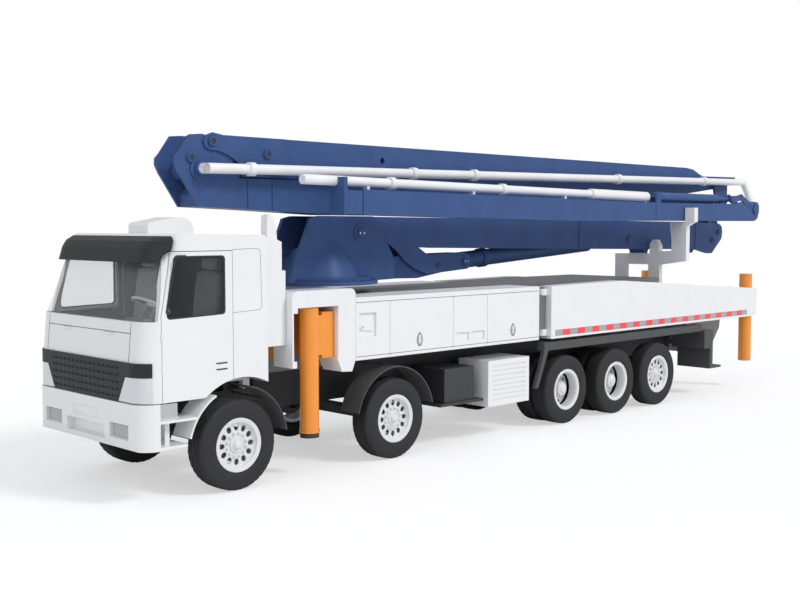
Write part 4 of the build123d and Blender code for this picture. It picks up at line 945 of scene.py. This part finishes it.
class TRUCK_OT_boom_fittings(bpy.types.Operator):
    """Adds the turret ring's bolts and the pins' end plates"""

    bl_idname = "truck.boom_fittings"
    bl_label = "Boom fittings"

    def execute(self, context):
        self.ring_bolts()
        self.pin_plates()
        return {"FINISHED"}

    def ring_bolts(self):
        turret_x, circle, flange_top = -2.25, 0.775, 2.360
        bolts = Form()
        for turn in turns(sizes().ring_bolts):
            spot = at(turret_x + circle * math.cos(turn), circle * math.sin(turn), flange_top)
            bolts.rod(spot, (0, 0, 1), 0.019, 0, 0.006, steps=16, edge=0.001)
            bolts.rod(spot, (0, 0, 1), 0.0145, 0.005, 0.022, steps=6, edge=0.002)
        bolts.done("ring_bolts", "turret", [blue_paint()], "blue_paint", clean=False)

    def pin_plates(self):
        """Bored pins get a collar round a dark disc of painted shade standing in for the bore, the others a keeper
        plate with two bolts.
        """
        # Distance ahead of the front axle, height, face, pin radius, bored
        pins = {
            "boom_1": [(-4.400, 2.520, 0.254, 0.040, True), (-12.320, 2.820, 0.264, 0.056, True)],
            "boom_2": [(-0.030, 3.930, 0.254, 0.058, True)],
            "boom_3": [(-0.330, 4.140, 0.284, 0.058, True), (-1.180, 4.020, 0.284, 0.060, True)],
            "turret": [(-2.750, 3.000, 0.342, 0.075, False), (-5.050, 2.560, 0.210, 0.060, False)],
        }
        materials = [blue_paint(), seam_black(), bright_steel()]
        for body, rows in pins.items():
            ends = Form()
            for x, z, y, radius, bored in rows:
                for out in SIDES.values():
                    fitting = self.collar if bored else self.keeper
                    fitting(ends, at(x, out * y, z), out, radius)
            ends.done(f"pin_ends_{body}", body, materials, "blue_paint", clean=False)

    def collar(self, form, middle, out, radius):
        """A raised ring round a dark disc: painted shade standing in for the bore's hollow."""
        bore = radius * 0.62
        profile = [(bore, 0.0), (radius, 0.0), (radius, 0.008), (radius * 0.94, 0.011), (radius * 0.66, 0.011)]
        form.turned(profile + [(bore, 0.008)], middle, (0, out, 0), steps=40)
        # A dark disc just proud of the pin: painted shade in place of the open bore
        form.rod(middle, (0, out, 0), bore, 0.0, 0.0006, 1, steps=32)

    def keeper(self, form, middle, out, radius):
        """A round plate with two bolts."""
        form.rod(middle, (0, out, 0), radius, 0.0, 0.010, steps=32, edge=0.002)
        for shift in (-0.5, 0.5):
            spot = middle + Vector((shift * radius, 0, 0))
            form.rod(spot, (0, out, 0), radius * 0.20, 0.009, 0.017, 2, steps=6, edge=0.001)


# Floor, light and camera


class TRUCK_OT_stage(bpy.types.Operator):
    """Adds the pale floor, soft lights and the camera at the photograph's angle"""

    bl_idname = "truck.stage"
    bl_label = "Stage"

    def execute(self, context):
        self.floor()
        self.lights(context)
        self.camera(context)
        return {"FINISHED"}

    def floor(self):
        """A pale floor that glows a little towards the camera, so that it fades into the backdrop."""
        glow_strength, glow_share = 1.30, 0.40
        grid = bmesh.new()
        bmesh.ops.create_grid(grid, x_segments=2, y_segments=2, size=400)
        data = bpy.data.meshes.new("floor")
        grid.to_mesh(data)
        grid.free()
        floor = bpy.data.objects.new("floor", data)
        bpy.context.scene.collection.objects.link(floor)
        material = bpy.data.materials.new("pale_floor")
        material.use_nodes = True
        tree = material.node_tree
        shader = tree.nodes["Principled BSDF"]
        shader.inputs["Base Color"].default_value = (0.86, 0.86, 0.865, 1)
        shader.inputs["Roughness"].default_value = 0.8
        shader.inputs["Specular IOR Level"].default_value = 0.15
        glow = node(tree, "Emission", Strength=glow_strength)
        seen = maths(tree, "MULTIPLY", node(tree, "LightPath").outputs["Is Camera Ray"], glow_share)
        mix_shaders(tree, seen, shader.outputs["BSDF"], glow.outputs["Emission"], tree.nodes["Material Output"])
        data.materials.append(material)

    def lights(self, context):
        """A dim blue-white sky that the camera sees as white, a soft key sun and a weak front sun."""
        world = bpy.data.worlds.new("studio")
        context.scene.world = world
        world.use_nodes = True
        tree = world.node_tree
        sky = tree.nodes["Background"]
        sky.inputs["Color"].default_value = (0.93, 0.95, 1.0, 1)
        sky.inputs["Strength"].default_value = 0.60
        backdrop = node(tree, "Background", Color=(1, 1, 1, 1), Strength=1.0)
        path = node(tree, "LightPath")
        seen = maths(tree, "MAXIMUM", path.outputs["Is Camera Ray"], path.outputs["Is Transmission Ray"])
        target = tree.nodes["World Output"]
        mix_shaders(tree, seen, sky.outputs["Background"], backdrop.outputs["Background"], target)
        # Name, strength, spread in degrees, direction towards the sun
        suns = (("key", 1.50, 14, (-0.38, 0.80, 0.85)), ("front", 0.40, 40, (0.9, 0.25, 0.5)))
        for name, strength, spread, towards in suns:
            lamp = bpy.data.lights.new(name, "SUN")
            lamp.energy = strength
            lamp.angle = math.radians(spread)
            sun = bpy.data.objects.new(name, lamp)
            sun.rotation_euler = Vector(towards).to_track_quat("Z", "Y").to_euler()
            context.scene.collection.objects.link(sun)

    def camera(self, context):
        """The photograph's camera, fitted to the wheels and the body's straight edges."""
        focal_pixels, picture_width, sensor_width = 1098.5, 800, 36.0
        lens = bpy.data.cameras.new("camera")
        lens.sensor_width = sensor_width
        lens.lens = focal_pixels / picture_width * sensor_width
        lens.clip_end = 400
        camera = bpy.data.objects.new("camera", lens)
        camera.location = at(7.55, 11.61, 3.09)
        yaw, pitch = math.radians(-134.42), math.radians(-3.82)
        ahead = Vector((math.cos(yaw) * math.cos(pitch), math.sin(yaw) * math.cos(pitch), math.sin(pitch)))
        camera.rotation_euler = ahead.to_track_quat("-Z", "Y").to_euler()
        context.scene.collection.objects.link(camera)
        context.scene.camera = camera
        context.scene.view_settings.view_transform = "Standard"


class TRUCK_PT_panel(bpy.types.Panel):
    """Shows the truck's colours and sizes, and a button for each operator"""

    bl_idname = "TRUCK_PT_panel"
    bl_label = "Pump truck"
    bl_space_type = "VIEW_3D"
    bl_region_type = "UI"
    bl_category = "Pump truck"

    def draw(self, context):
        for group in (context.scene.truck_paint, context.scene.truck_sizes):
            box = self.layout.box()
            for name in group.__annotations__:
                box.prop(group, name)
        for operator in OPERATORS:
            self.layout.operator(operator.bl_idname)


OPERATORS = (
    TRUCK_OT_stage,
    TRUCK_OT_paint,
    TRUCK_OT_wheels,
    TRUCK_OT_cab_outside,
    TRUCK_OT_cab_inside,
    TRUCK_OT_lockers,
    TRUCK_OT_tape,
    TRUCK_OT_boom_fittings,
)
CLASSES = (TruckPaint, TruckSizes, *OPERATORS, TRUCK_PT_panel)


def register():
    for item in CLASSES:
        bpy.utils.register_class(item)
    bpy.types.Scene.truck_paint = bpy.props.PointerProperty(type=TruckPaint)
    bpy.types.Scene.truck_sizes = bpy.props.PointerProperty(type=TruckSizes)


def unregister():
    del bpy.types.Scene.truck_sizes
    del bpy.types.Scene.truck_paint
    for item in reversed(CLASSES):
        bpy.utils.unregister_class(item)


def main():
    register()
    for name in ("stage", "paint", "wheels", "cab_outside", "cab_inside", "lockers", "tape", "boom_fittings"):
        getattr(bpy.ops.truck, name)()


if __name__ == "__main__":
    main()
